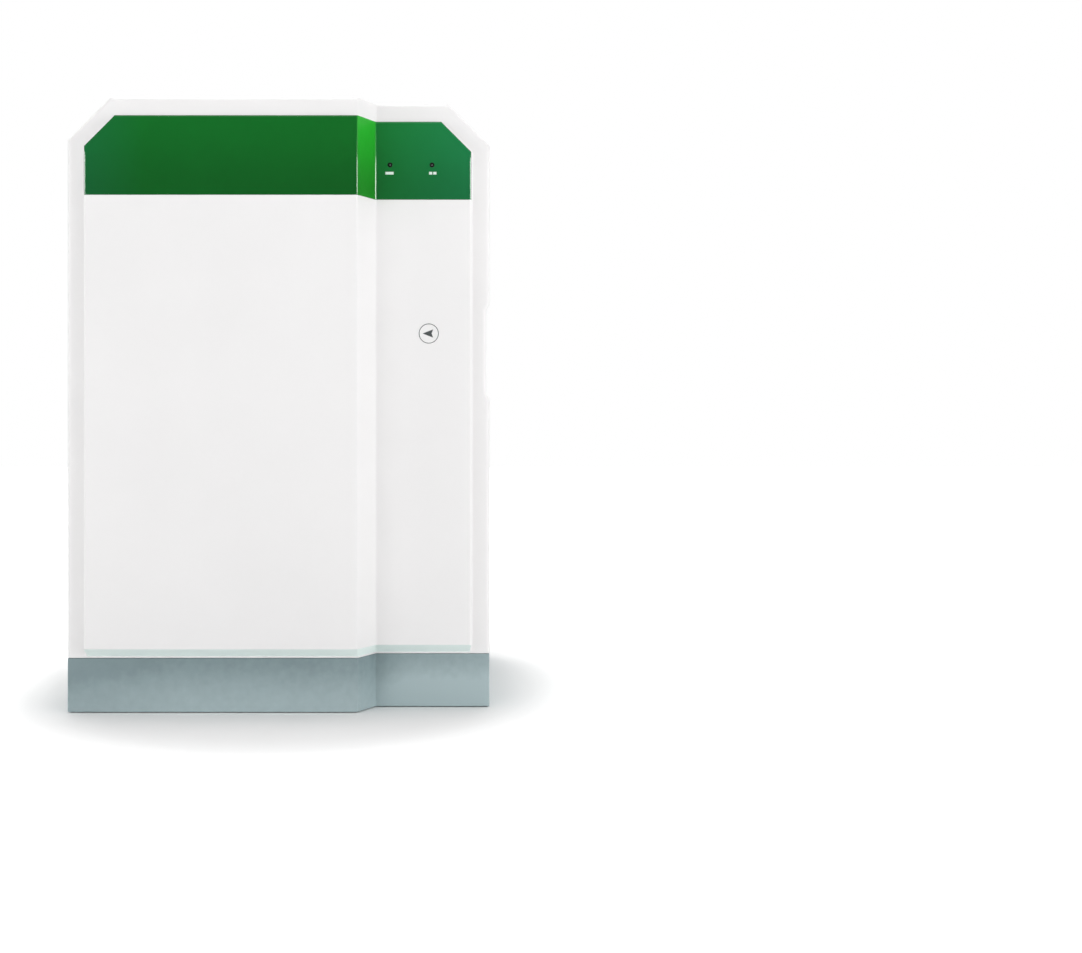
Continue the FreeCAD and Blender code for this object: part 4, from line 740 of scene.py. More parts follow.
def revolve(
    profile: np.ndarray, count: int, centre: Sequence[float], axis: int, ring: bool = False
) -> Shape:
    """Closed body of revolution.

    The profile's (radius, height) points turn round the axis: a point at angle t lies radius * cos t and
    radius * sin t from the axis in the two other directions.

    Args:
        profile: P by 2 radii and heights, from one end to the other, or once round a ring's section.
        count: points round the axis.
        centre: place of the axis.
        axis: 0, 1 or 2 for X, Y or Z.
        ring: True where the profile is a closed section, False to fill its two ends.

    Returns:
        Points and faces.
    """
    turn = np.linspace(0.0, 2.0 * math.pi, count, endpoint=False)
    radius, height = profile[:, :1], profile[:, 1:]
    points = np.zeros((len(profile), count, 3))
    first, second = [k for k in range(3) if k != axis]
    points[..., first] = centre[first] + radius * np.cos(turn)
    points[..., second] = centre[second] + radius * np.sin(turn)
    points[..., axis] = centre[axis] + height
    return lofted(points, ring)


def prism(plan: np.ndarray, near: float, far: float) -> Shape:
    """Body between two Y places whose outline is a closed line of (X, Z) points.

    Args:
        plan: P by 2 places of the outline.
        near: Y of one end.
        far: Y of the other end.

    Returns:
        Points and faces.
    """
    ends = [np.column_stack([plan[:, 0], np.full(len(plan), y), plan[:, 1]]) for y in (near, far)]
    return lofted(np.stack(ends))


def block(low: Sequence[float], high: Sequence[float]) -> Shape:
    """Box between two corners, as points and faces."""
    corners = [[x, y, z] for x in (low[0], high[0]) for y in (low[1], high[1]) for z in (low[2], high[2])]
    sides = [[0, 1, 3, 2], [4, 6, 7, 5], [0, 4, 5, 1], [2, 3, 7, 6], [0, 2, 6, 4], [1, 5, 7, 3]]
    return np.array(corners), sides


def gathered(parts: Sequence[Shape]) -> Shape:
    """Several bodies as one.

    Args:
        parts: points and faces of each body.

    Returns:
        Points and faces of all of them.
    """
    points = []
    faces = []
    start = 0
    for spots, sides in parts:
        points.append(spots)
        faces.extend([[start + index for index in side] for side in sides])
        start += len(spots)
    return np.concatenate(points), faces


def arc(start: float, end: float, steps: int) -> np.ndarray:
    """Angles in radians from start to end degrees."""
    return np.radians(np.linspace(start, end, steps + 1))


def cluster(centre: float, half: float, steps: int) -> np.ndarray:
    """Even steps across a place where a surface turns."""
    return np.linspace(centre - half, centre + half, steps + 1)


def printed_ring(inner: float, outer: float, count: int, centre: Sequence[float], out: float) -> Shape:
    """Thin ring printed on an upright surface.

    Args:
        inner: radius of its hole.
        outer: its own radius.
        count: points round it.
        centre: its middle, on the surface.
        out: 1 where the surface faces +Y, -1 where it faces -Y.

    Returns:
        Points and faces.
    """
    sunk, face = -out * INK_SUNK, out * INK_THICK
    section = np.array([[inner, sunk], [inner, face], [outer, face], [outer, sunk]])
    return revolve(section, count, centre, 1, ring=True)


# The stepped front that the door and the plinth share


@dataclass(frozen=True)
class SteppedFront:
    """Front whose right part stands back behind a slanted strip.

    rim_y is the Y of its left part, left and run are the strip's start and width along X, step is how far
    the right part stands back, and soft is half the width over which the strip's two turns are rounded.
    """

    rim_y: float = -255.0
    left: float = STRIP_LEFT
    run: float = STRIP_RUN
    step: float = 42.0
    soft: float = 1.3
    turn_reach: float = 1.15
    turn_steps: int = 8
    plain_columns: tuple[float, ...] = (-120.0, -60.0, 0.0, 60.0, 100.0, 103.0, 106.0, 135.0, 160.0)

    def back(self, across: np.ndarray) -> np.ndarray:
        """How far the front stands back.

        The sharp line is 0, a ramp and step. Its mean over a window of soft on either side rounds both
        turns, and that mean is the difference of the line's running area at the window's two ends.

        Args:
            across: X places.

        Returns:
            The distance back at each of them.
        """
        ends = [self.area(across + side * self.soft) for side in (1.0, -1.0)]
        return (ends[0] - ends[1]) / (2.0 * self.soft)

    def area(self, across: np.ndarray) -> np.ndarray:
        """Running area under the sharp line."""
        ramp = np.clip(across - self.left, 0.0, self.run)
        past = np.clip(across - self.left - self.run, 0.0, None)
        return self.step * (ramp**2 / (2.0 * self.run) + past)

    def columns(self, reach: float) -> np.ndarray:
        """X of the grid lines out to reach on both sides, close together where the front turns."""
        edges = (self.left, self.left + self.run)
        turns = [cluster(edge, self.soft * self.turn_reach, self.turn_steps) for edge in edges]
        return np.unique(np.concatenate([[-reach, *self.plain_columns, reach], *turns]))


@dataclass(frozen=True)
class Ring:
    """One closed line round the door.

    half, bottom, top and corner give its outline, where corner is the leg of the two cut top corners.
    rise is its distance in front of the rim's face; flat is a Y for lines of the flat back instead.
    notch is the share of the finger notch that its free edge follows, and mitre is how far the ends of
    its lowest row stand in.
    """

    half: float
    bottom: float
    top: float
    corner: float
    rise: float = 0.0
    flat: Optional[float] = None
    notch: float = 0.0
    mitre: float = 0.0

    def moved(self, inset: float, rise: float, bottom: float) -> "Ring":
        """The line moved inwards on its sides, top and corners, at another rise.

        Where the sides move in by inset, the leg of a 45 degree corner shrinks by (2 - root 2) * inset.

        Args:
            inset: distance inwards.
            rise: the new distance in front of the rim's face.
            bottom: the new height of its foot.

        Returns:
            The moved line.
        """
        corner = self.corner - (2.0 - math.sqrt(2.0)) * inset
        return replace(
            self, half=self.half - inset, top=self.top - inset, corner=corner, rise=rise, bottom=bottom
        )


@dataclass(frozen=True)
class SteppedPlate:
    """Closed body between nested lines round a stepped front.

    Every line is the edge of the same grid of rows and columns, so that successive lines join with
    quads and the first and last ones are filled by their own grids. Above lid_from the front stands no
    further out than lid_depth, and free_edge gives the depth of the notch at each height.
    """

    front: SteppedFront
    rows: np.ndarray
    reach: float
    free_edge: Callable[[np.ndarray], np.ndarray]
    lid_from: float = math.inf
    lid_depth: float = 0.0
    corner_rows: int = 5
    outer_columns: int = 2

    @property
    def foot_quads(self) -> int:
        """Quads along a line's bottom: one between each two columns."""
        return len(self.front.columns(self.reach)) + 2 * self.outer_columns - 1

    def grid(self, ring: Ring) -> np.ndarray:
        """Grid of a ring's surface.

        A row at height z ends at half, less z's height over the foot of the cut corner. Inner columns
        keep their X, and one column lies midway between them and each end. Y is the stepped front's
        distance back from the rim, less the ring's rise.

        Args:
            ring: the line round the grid.

        Returns:
            Rows by columns by 3 places.
        """
        turn = ring.top - ring.corner
        corner = turn + ring.corner * np.linspace(0.0, 1.0, self.corner_rows)
        height = np.concatenate([[ring.bottom], self.rows, corner])
        half = ring.half - np.clip(height - turn, 0.0, None)
        half[0] -= ring.mitre
        inner = self.front.columns(self.reach)
        middle = (half + self.reach) / 2.0
        across = np.concatenate(
            [
                -half[:, None],
                -middle[:, None],
                np.repeat(inner[None, :], len(height), axis=0),
                middle[:, None],
                (half - ring.notch * self.free_edge(height))[:, None],
            ],
            axis=1,
        )
        up = np.repeat(height[:, None], across.shape[1], axis=1)
        if ring.flat is None:
            rise = np.where(up > self.lid_from, min(ring.rise, self.lid_depth), ring.rise)
            deep = self.front.rim_y + self.front.back(across) - rise
        else:
            deep = np.full_like(across, ring.flat)
        return np.stack([across, deep, up], axis=-1)

    @staticmethod
    def edge(grid: np.ndarray) -> np.ndarray:
        """A grid's outer line, once round from its lower left."""
        return np.concatenate([grid[0, :-1], grid[:-1, -1], grid[-1, :0:-1], grid[:0:-1, 0]])

    def body(self, rings: Sequence[Ring]) -> tuple[Shape, int]:
        """The closed body between the lines.

        Args:
            rings: the lines from the middle of the back round to the middle of the front.

        Returns:
            The points and quads, and the number of points in a line. The first quads join the lines,
            line by line, and each line's first quads lie along its bottom.
        """
        grids = [self.grid(ring) for ring in rings]
        lines = np.stack([self.edge(grid) for grid in grids])
        count = lines.shape[1]
        quads = [strip_faces(len(rings), count)]
        points = [lines.reshape(-1, 3)]
        for grid, line in ((grids[0], 0), (grids[-1], len(rings) - 1)):
            start = sum(len(spots) for spots in points)
            numbers = start + np.arange(grid[..., 0].size).reshape(grid.shape[:2])
            swap = np.arange(start + numbers.size)
            swap[self.edge(numbers)] = line * count + np.arange(count)
            corners = [numbers[:-1, :-1], numbers[:-1, 1:], numbers[1:, 1:], numbers[1:, :-1]]
            quads.append(swap[np.stack(corners, axis=-1).reshape(-1, 4)])
            points.append(grid.reshape(-1, 3))
        return (np.concatenate(points), np.concatenate(quads)), count


@dataclass(frozen=True)
class Door:
    """The full-width door: its white moulding, green fascia, lamps and printed mark.

    The rim is the moulding's outer edge, the panel stands out in front of it by raised, and the panel's
    sloping foot drops by bevel_drop below panel_foot. The fascia's own thickness is fascia, and it lies
    flush in the panel. Heights are counted from the moulding's foot. A name that ends in steps or points
    says how finely a round stretch is divided.
    """

    front: SteppedFront = SteppedFront()
    column_reach: float = 186.0

    # Rim and back
    wall: float = 3.0
    cap_depth: float = 4.0
    rim_corner: float = 50.0
    rim_round: float = 5.0
    foot_round: float = 0.4
    back_round: float = 0.6
    sill: float = 0.7
    rim_steps: int = 9

    # Raised panel
    panel_half: float = 227.5
    panel_top_margin: float = 23.8
    panel_corner: float = 36.0
    panel_round: float = 2.8
    panel_root: float = 3.0
    raised: float = 15.0
    panel_foot: float = 11.3
    bevel_drop: float = 10.0
    bevel_mitre: float = 2.0
    panel_steps: int = 5

    # Green fascia
    fascia: float = 3.0
    fascia_foot_round: float = 0.5
    fascia_rows: tuple[float, ...] = (8.0, 30.0, 50.0)
    fascia_steps: int = 6
    seam: float = 0.12

    # Finger notch in the free edge, and the pocket behind it
    notch_height: float = 362.3
    notch_half: float = 56.0
    notch_depth: float = 4.0
    notch_soft: float = 1.2
    notch_spread: float = 6.0
    notch_steps: int = 12
    grip_half: float = 52.0
    grip_width: float = 18.0
    grip_depth: float = 19.0

    # Hinge axis, and the pockets round its knuckles
    hinge_x: float = -236.0
    hinge_y: float = -199.0
    knuckle_half: float = 20.0
    pocket_half: float = 28.3
    pocket_inwards: float = 12.0
    pocket_forwards: float = 17.0
    clear_x: float = 260.0
    clear_back: float = 5.0

    # Lamp bezel, as (radius, distance behind the face) points, and its lens
    bezel: tuple[Span, ...] = ((1.55, 0.9), (1.55, -0.12), (1.75, -0.42), (2.15, -0.5),
                               (2.6, -0.42), (2.88, -0.15), (2.9, 0.0), (2.4, 0.9))
    lens_radius: float = 1.5
    lens_rise: float = 1.3
    lens_proud: float = 0.05
    lens_root: float = 0.9
    lens_end: float = 84.0
    lens_steps: int = 6
    lens_points: int = 32
    bezel_points: int = 40

    # Printed ring and its arrowhead, whose tip, tail and dent are X places from the ring's middle
    mark_x: float = 176.5
    mark_height: float = 383.4
    mark_ring: Span = (11.1, 11.9)
    mark_points: int = 96
    arrow_tip: float = -7.4
    arrow_tail: float = 5.2
    arrow_dent: float = 3.4
    arrow_wing: float = 4.9

    @property
    def low(self) -> np.ndarray:
        """Lowest corner of the moulding."""
        return node_box("door_shell")[0]

    @property
    def high(self) -> np.ndarray:
        """Highest corner of the moulding."""
        return node_box("door_shell")[1]

    @property
    def band_bottom(self) -> float:
        """Lower edge of the green fascia."""
        return float(node_box("door_fascia")[0][2])

    @property
    def notch_centre(self) -> float:
        """Height of the finger notch's middle."""
        return self.low[2] + self.notch_height

    @property
    def right_face(self) -> float:
        """Y of the panel's face on the right part."""
        return self.front.rim_y + self.front.step - self.raised

    def finger_notch(self, height: np.ndarray) -> np.ndarray:
        """Depth of the notch in the free edge.

        It is a trapezium with 45 degree ends. Its turns are softened by soft * log(1 + exp(x / soft)),
        which stands for the larger of 0 and x.

        Args:
            height: Z places.

        Returns:
            The depth at each of them.
        """
        soft = self.notch_soft
        ramp = self.notch_half - np.abs(height - self.notch_centre)
        rounded = soft * np.logaddexp(0.0, ramp / soft)
        depth = self.notch_depth - soft * np.logaddexp(0.0, (self.notch_depth - rounded) / soft)
        return np.clip(depth, 0.0, None)

    def plate(self, rows: np.ndarray, lid_from: float) -> SteppedPlate:
        """The grid that the moulding or the fascia is made on.

        Args:
            rows: heights of its inner rows.
            lid_from: height over which it makes room for the fascia.

        Returns:
            The plate.
        """
        return SteppedPlate(
            front=self.front,
            rows=rows,
            reach=self.column_reach,
            free_edge=self.finger_notch,
            lid_from=lid_from,
            lid_depth=self.raised - self.fascia,
        )

    def rim_line(self) -> Ring:
        """The door's outer line, whose lip hangs down into the gap over the plinth."""
        return Ring(self.high[0], self.low[2] - self.sill, self.high[2], self.rim_corner, notch=1.0)

    def panel_line(self) -> Ring:
        """The raised panel's outer line."""
        top = self.high[2] - self.panel_top_margin
        return Ring(self.panel_half, self.low[2] + self.panel_foot, top, self.panel_corner)

    def panel_ring(self, inset: float, rise: float) -> Ring:
        """The raised panel's line at a distance in front of the rim.

        Args:
            inset: distance inwards from the panel's outer line.
            rise: distance in front of the rim.

        Returns:
            The line, with the sloping foot's height and mitre there.
        """
        back = 1.0 - rise / self.raised
        foot = self.low[2] + self.panel_foot - self.bevel_drop * back
        return replace(self.panel_line().moved(inset, rise, foot), mitre=self.bevel_mitre * back)

    def moulding_rings(self) -> tuple[list[Ring], int]:
        """Lines of the white moulding: its hollow back, its rim, and the raised panel's root and edge.

        Returns:
            The lines, and the number of the first one on the raised panel.
        """
        rim = self.rim_line()
        back = float(self.high[1])
        inner = rim.moved(self.wall, 0.0, rim.bottom + self.wall)
        rings = [
            replace(inner, flat=back - self.cap_depth),
            replace(inner, flat=back),
            replace(rim.moved(self.back_round, 0.0, rim.bottom + self.back_round), flat=back),
            replace(rim, flat=back - self.back_round),
        ]
        for angle in arc(0.0, 90.0, self.rim_steps):
            rise = self.rim_round * (math.sin(angle) - 1.0)
            inset = self.rim_round * (1.0 - math.cos(angle))
            over = max(0.0, rise + self.foot_round)
            foot = self.foot_round - math.sqrt(self.foot_round**2 - over**2)
            rings.append(rim.moved(inset, rise, rim.bottom + foot))
        first_raised = len(rings)
        for angle in arc(0.0, 90.0, self.panel_steps):
            out = self.panel_root * (1.0 - math.sin(angle))
            rings.append(self.panel_ring(-out, self.panel_root * (1.0 - math.cos(angle))))
        for angle in arc(0.0, 90.0, self.panel_steps):
            rise = self.raised - self.panel_round * (1.0 - math.sin(angle))
            rings.append(self.panel_ring(self.panel_round * (1.0 - math.cos(angle)), rise))
        return rings, first_raised

    def moulding_rows(self) -> np.ndarray:
        """Heights of the moulding's rows, close together at the notch's two turns and the fascia's edge.

        The plain rows between them keep the faces short; the fascia's edge lies between two rows that are
        a hair apart.

        Returns:
            The heights, from the foot up.
        """
        foot, centre, band = self.low[2] + self.panel_foot, self.notch_centre, self.band_bottom
        turn = self.notch_half - self.notch_depth / 2.0
        spread, steps = self.notch_spread, self.notch_steps
        over_foot, lowest, room, half_grip = 0.5, 90.0, 2.0, 30.0
        under_band, in_band, hair = 10.0, 30.0, 0.02
        past = turn + spread + room
        return np.concatenate(
            [
                [foot + over_foot],
                np.linspace(lowest, centre - past, 6),
                cluster(centre - turn, spread, steps),
                cluster(centre, half_grip, 2),
                cluster(centre + turn, spread, steps),
                np.linspace(centre + past, band - under_band, 4),
                [band - hair, band + hair, band + in_band],
            ]
        )

    def moulding(self) -> bpy.types.Object:
        """White moulding with its raised panel, finger notch and pockets, and a sloping foot in a painted
        greenish reflection.

        Returns:
            The piece.
        """
        plate = self.plate(self.moulding_rows(), self.band_bottom)
        rings, first = self.moulding_rings()
        shape, count = plate.body(rings)
        number = np.arange(len(shape[1]))
        joined = number < (len(rings) - 1) * count
        raised = number // count >= first
        along_foot = number % count < plate.foot_quads
        # The faces along the raised panel's sloping foot take the painted greenish reflection.
        piece = write_piece("door_moulding", shape, (WHITE, PAINTED_FOOT_REFLECTION), joined & raised & along_foot)
        self.cut_pockets(piece)
        weigh_normals(piece)
        return seat(piece, "door", "white_moulding", "door_shell")

    def cut_pockets(self, piece: bpy.types.Object) -> None:
        """Cuts the two hinge pockets and the finger pocket out of the moulding's back.

        Args:
            piece: the moulding.
        """
        back = float(self.high[1])
        knuckles = node_box("hinge_knuckles")
        inwards = self.hinge_x + self.pocket_inwards
        forwards = self.hinge_y - self.pocket_forwards
        middles = (knuckles[0][2] + self.knuckle_half, knuckles[1][2] - self.knuckle_half)
        spans = [(-self.clear_x, inwards, forwards, z, self.pocket_half) for z in middles]
        grip = (self.high[0] - self.grip_width, self.clear_x, back - self.grip_depth)
        spans.append((*grip, self.notch_centre, self.grip_half))
        pockets = [
            block((x0, y0, z - half), (x1, back + self.clear_back, z + half))
            for x0, x1, y0, z, half in spans
        ]
        apply_cut(piece, write_piece("pocket_cutter", gathered(pockets), (WHITE,)))

    def fascia_cover(self) -> bpy.types.Object:
        """Green fascia that lies flush in the raised panel, with a thin seam under and behind it.

        Returns:
            The piece.
        """
        panel = self.panel_line()
        bottom = self.band_bottom + self.seam
        edge = self.fascia_foot_round
        plate = self.plate(bottom + np.array(self.fascia_rows), math.inf)
        rings = [panel.moved(0.0, self.raised - self.fascia + self.seam, bottom)]
        for angle in arc(0.0, 90.0, self.fascia_steps):
            rise = self.raised - self.panel_round * (1.0 - math.sin(angle))
            inset = self.panel_round * (1.0 - math.cos(angle))
            over = max(0.0, rise - self.raised + edge)
            foot = edge - math.sqrt(max(0.0, edge**2 - over**2))
            rings.append(panel.moved(inset, rise, bottom + foot))
        shape, _ = plate.body(rings)
        piece = write_piece("green_fascia_cover", shape, (GREEN,))
        weigh_normals(piece)
        return seat(piece, "door", "green_fascia", "door_fascia")

    def lamps(self) -> None:
        """Two black bezels with their small domed lamps."""
        low, high = node_box("led_bezels")
        middle = (low[2] + high[2]) / 2.0
        collar = (high[2] - low[2]) / 2.0
        angle = arc(0.0, self.lens_end, self.lens_steps)
        dome = [self.lens_radius * np.cos(angle), -self.lens_proud - self.lens_rise * np.sin(angle)]
        lens = np.concatenate([[[self.lens_radius, self.lens_root]], np.stack(dome, axis=-1)])
        places = [(x, self.right_face, middle) for x in (low[0] + collar, high[0] - collar)]
        bezel = np.array(self.bezel)
        bezels = gathered([revolve(bezel, self.bezel_points, place, 1, ring=True) for place in places])
        lenses = gathered([revolve(lens, self.lens_points, place, 1) for place in places])
        seat(write_piece("lamp_bezels", bezels, (FITTING,)), "door", "fitting_black", "led_bezels")
        seat(write_piece("lamp_lenses", lenses, (LENS,)), "door", "lamp_lens", "indicator_leds")

    def printed_mark(self) -> None:
        """Thin printed ring with an arrowhead that points to the hinges."""
        face = self.right_face
        height = self.low[2] + self.mark_height
        ring = printed_ring(*self.mark_ring, self.mark_points, (self.mark_x, face, height), -1.0)
        plan = np.array([[self.arrow_tip, 0.0], [self.arrow_tail, self.arrow_wing],
                         [self.arrow_dent, 0.0], [self.arrow_tail, -self.arrow_wing]])
        arrow = prism(plan + np.array([self.mark_x, height]), face - INK_THICK, face + INK_SUNK)
        piece = write_piece("printed_door_mark", gathered([ring, arrow]), (INK_DARK,))
        seat(piece, "door", "white_moulding")

    def build(self) -> None:
        """Makes every piece of the door that has its own mesh."""
        self.moulding()
        self.fascia_cover()
        self.lamps()
        self.printed_mark()


# The plinth


@dataclass(frozen=True)
class Plinth:
    """Blue-grey skirted base that follows the door's stepped front."""

    front: SteppedFront = SteppedFront()
    wall: float = 4.0
    top_round: float = 0.6
    foot_round: float = 0.8
    foot_chamfer: float = 0.3
    outer_round: float = 1.6
    inner_round: float = 1.0
    least_round: float = 0.4
    corner_points: int = 9
    foot_steps: int = 4
    top_steps: int = 5

    def corners(self) -> tuple[np.ndarray, np.ndarray]:
        """Plan corners of the skirt, which stands proud of the door's front all along it.

        Moving the stepped line forwards keeps its slant, so the strip's two corners slide along X.

        Returns:
            The corners, anticlockwise from above, and 1 for each outer and -1 for the inner one.
        """
        low, high = node_box("base_plinth")
        front = self.front
        slant = math.hypot(front.run, front.step)
        proud = front.rim_y - low[1]
        slide = -proud * (front.run - slant) / front.step
        plan = np.array(
            [
                [low[0], high[1]],
                [low[0], low[1]],
                [front.left + slide, low[1]],
                [front.left + front.run + slide, low[1] + front.step],
                [high[0], low[1] + front.step],
                [high[0], high[1]],
            ]
        )
        return plan, np.array([1.0, 1.0, 1.0, -1.0, 1.0, 1.0])

    def ring(self, inset: float) -> np.ndarray:
        """Plan line moved inwards, with its corners rounded.

        Each side moves along its inward normal and meets its neighbours again. A corner becomes an arc
        that is tangent to both sides; the arc's radius shrinks with the inset at an outer corner and
        grows at the inner one.

        Args:
            inset: distance inwards.

        Returns:
            P by 2 places.
        """
        plan, kinds = self.corners()
        ahead = np.roll(plan, -1, axis=0) - plan
        ahead /= np.linalg.norm(ahead, axis=1, keepdims=True)
        inward = np.stack([-ahead[:, 1], ahead[:, 0]], axis=-1)
        before, inward_before = np.roll(ahead, 1, axis=0), np.roll(inward, 1, axis=0)
        cross = before[:, 0] * ahead[:, 1] - before[:, 1] * ahead[:, 0]
        turn = np.arctan2(cross, np.sum(before * ahead, axis=1))
        bisector = (inward + inward_before) / 2.0
        bisector /= np.sum(bisector * inward, axis=1, keepdims=True)
        outer = np.maximum(self.outer_round - inset, self.least_round)
        radius = np.where(kinds > 0, outer, self.inner_round + inset)
        centre = plan + bisector * inset + bisector * (radius * kinds)[:, None]
        start = -inward_before * kinds[:, None]
        angle = turn[:, None] * np.linspace(0.0, 1.0, self.corner_points)
        x = start[:, :1] * np.cos(angle) - start[:, 1:] * np.sin(angle)
        y = start[:, :1] * np.sin(angle) + start[:, 1:] * np.cos(angle)
        points = centre[:, None] + radius[:, None, None] * np.stack([x, y], axis=-1)
        return points.reshape(-1, 2)

    def build(self) -> bpy.types.Object:
        """Skirt and deck as one moulding: a profile carried round the plan line.

        The profile's points are (inset, height): up the inside of the wall, round the foot and round the
        top edge. The two ends are filled, under and over the deck.

        Returns:
            The piece.
        """
        low, high = node_box("base_plinth")
        foot, top = float(low[2]), float(high[2])
        inside = [(self.wall, top - self.wall), (self.wall, foot + self.foot_chamfer)]
        inside.append((self.wall - self.foot_chamfer, foot))
        angle = arc(-90.0, 0.0, self.foot_steps)
        lower = [self.foot_round * (1.0 - np.cos(angle)), foot + self.foot_round * (1.0 + np.sin(angle))]
        angle = arc(0.0, 90.0, self.top_steps)
        upper = [self.top_round * (1.0 - np.cos(angle)), top - self.top_round * (1.0 - np.sin(angle))]
        profile = np.concatenate([inside, np.stack(lower, axis=-1), np.stack(upper, axis=-1)])
        lines = [np.insert(self.ring(inset), 2, height, axis=1) for inset, height in profile]
        piece = write_piece("plinth_skirt", lofted(np.stack(lines)), (PLINTH,))
        weigh_normals(piece)
        return seat(piece, "cabinet", "grey_plinth", "base_plinth")


# Small turned parts


def loose_boxes(node: str) -> list[tuple[np.ndarray, np.ndarray]]:
    """Corners of each separate solid of a CAD node.

    Args:
        node: the CAD node.

    Returns:
        The lowest and highest corner of each solid, in millimetres.
    """
    work = bmesh.new()
    work.from_mesh(frame["nodes"][node].data)
    bmesh.ops.remove_doubles(work, verts=work.verts, dist=SAME_CORNER)
    left = set(work.verts)
    boxes = []
    for seed in work.verts:
        if seed not in left:
            continue
        left.discard(seed)
        group = [seed]
        for vertex in group:
            near = [edge.other_vert(vertex) for edge in vertex.link_edges]
            fresh = [other for other in near if other in left]
            left.difference_update(fresh)
            group.extend(fresh)
        spots = np.array([vertex.co[:] for vertex in group]) / MM
        boxes.append((spots.min(axis=0), spots.max(axis=0)))
    work.free()
    return boxes


@dataclass(frozen=True)
class TurnedParts:
    """Round parts that stand for every solid of one CAD node, each turned about an axis.

    axis is 1 or 2 for Y or Z, and from_high is True where the end that shows is the one further along it.
    """

    node: str
    finish: Finish
    axis: int
    from_high: bool
    points_round: int = 48

    def profile(self, radius: float, length: float) -> np.ndarray:
        """Plain cylinder; a kind of part gives its own (radius, distance from the shown end) points."""
        return np.array([[radius, 0.0], [radius, length]])

    def build(self) -> bpy.types.Object:
        """One piece with all the turned parts.

        Returns:
            The piece.
        """
        parts = []
        for low, high in loose_boxes(self.node):
            centre = (low + high) / 2.0
            side = (self.axis + 1) % 3
            radius = (high[side] - low[side]) / 2.0
            shape = self.profile(radius, high[self.axis] - low[self.axis])
            if self.from_high:
                centre[self.axis] = high[self.axis]
                shape = shape * np.array([1.0, -1.0])
            else:
                centre[self.axis] = low[self.axis]
            parts.append(revolve(shape, self.points_round, centre, self.axis))
        piece = write_piece(f"{self.node}_turned", gathered(parts), (self.finish,))
        return seat(piece, "cabinet", self.finish.name, self.node)


@dataclass(frozen=True)
class Studs(TurnedParts):
    """Rubber studs with a slightly hollow end, a rounded rim and a flared root."""

    rim: float = 2.2
    rim_share: float = 0.3
    rim_steps: int = 6
    taper: float = 0.5
    hollow: tuple[Span, ...] = ((0.45, 0.7), (0.6, 0.3))

    def profile(self, radius: float, length: float) -> np.ndarray:
        """Outline of a stud.

        The hollow's points are shares of the radius and depths. The rim is a quarter circle of rim, or of
        a share of a short stud's length.

        Args:
            radius: radius at the root.
            length: length of the stud.

        Returns:
            Radii and distances from the shown end.
        """
        edge = min(self.rim, length * self.rim_share)
        turn = arc(0.0, 90.0, self.rim_steps)
        rim = [radius - self.taper - edge + edge * np.sin(turn), edge * (1.0 - np.cos(turn))]
        hollow = [[radius * share, depth] for share, depth in self.hollow]
        return np.concatenate([hollow, np.stack(rim, axis=-1), [[radius, length]]])


@dataclass(frozen=True)
class Screws(TurnedParts):
    """Pan-head screws: a low dome, a shank, and crossed slots in the head."""

    dome: float = 0.9
    dome_start: float = 8.0
    dome_steps: int = 7
    head: float = 2.0
    shank_share: float = 0.5
    slot_reach: float = 2.1
    slot_half: float = 0.45
    slot_depth: float = 1.1
    slot_clear: float = 1.0

    def profile(self, radius: float, length: float) -> np.ndarray:
        """Outline of a screw.

        Args:
            radius: radius of the head.
            length: length over all.

        Returns:
            Radii and distances from the top of the head.
        """
        turn = arc(self.dome_start, 90.0, self.dome_steps)
        dome = np.stack([radius * np.sin(turn), self.dome * (1.0 - np.cos(turn))], axis=-1)
        shank = radius * self.shank_share
        return np.concatenate([dome, [[radius, self.head], [shank, self.head], [shank, length]]])

    def slots(self) -> bpy.types.Object:
        """Crossed slots at the head of every screw, as one cutting body.

        The plan is an arm's two corners and the inner corner beside it, turned four times by 90 degrees.

        Returns:
            The cutter.
        """
        reach, half = self.slot_reach, self.slot_half
        arm = np.array([[reach, -half], [reach, half], [half, half]])
        turns = [np.array([[c, s], [-s, c]]) for c, s in ((1, 0), (0, 1), (-1, 0), (0, -1))]
        plus = np.concatenate([arm @ turn for turn in turns])
        prisms = []
        for low, high in loose_boxes(self.node):
            centre = (low + high) / 2.0
            ends = (high[1] - self.slot_depth, high[1] + self.slot_clear)
            prisms.append(prism(plus + centre[[0, 2]], *ends))
        return write_piece("slot_cutter", gathered(prisms), (self.finish,))

    def build(self) -> bpy.types.Object:
        """One piece with all the screws."""
        piece = super().build()
        apply_cut(piece, self.slots())
        return piece


TURNED = (
    Studs("rubber_feet", RUBBER, 2, False),
    Studs("rear_bumpers", RUBBER, 1, True),
    Screws("panel_screws", ZINC, 1, True),
)


# Printed marks


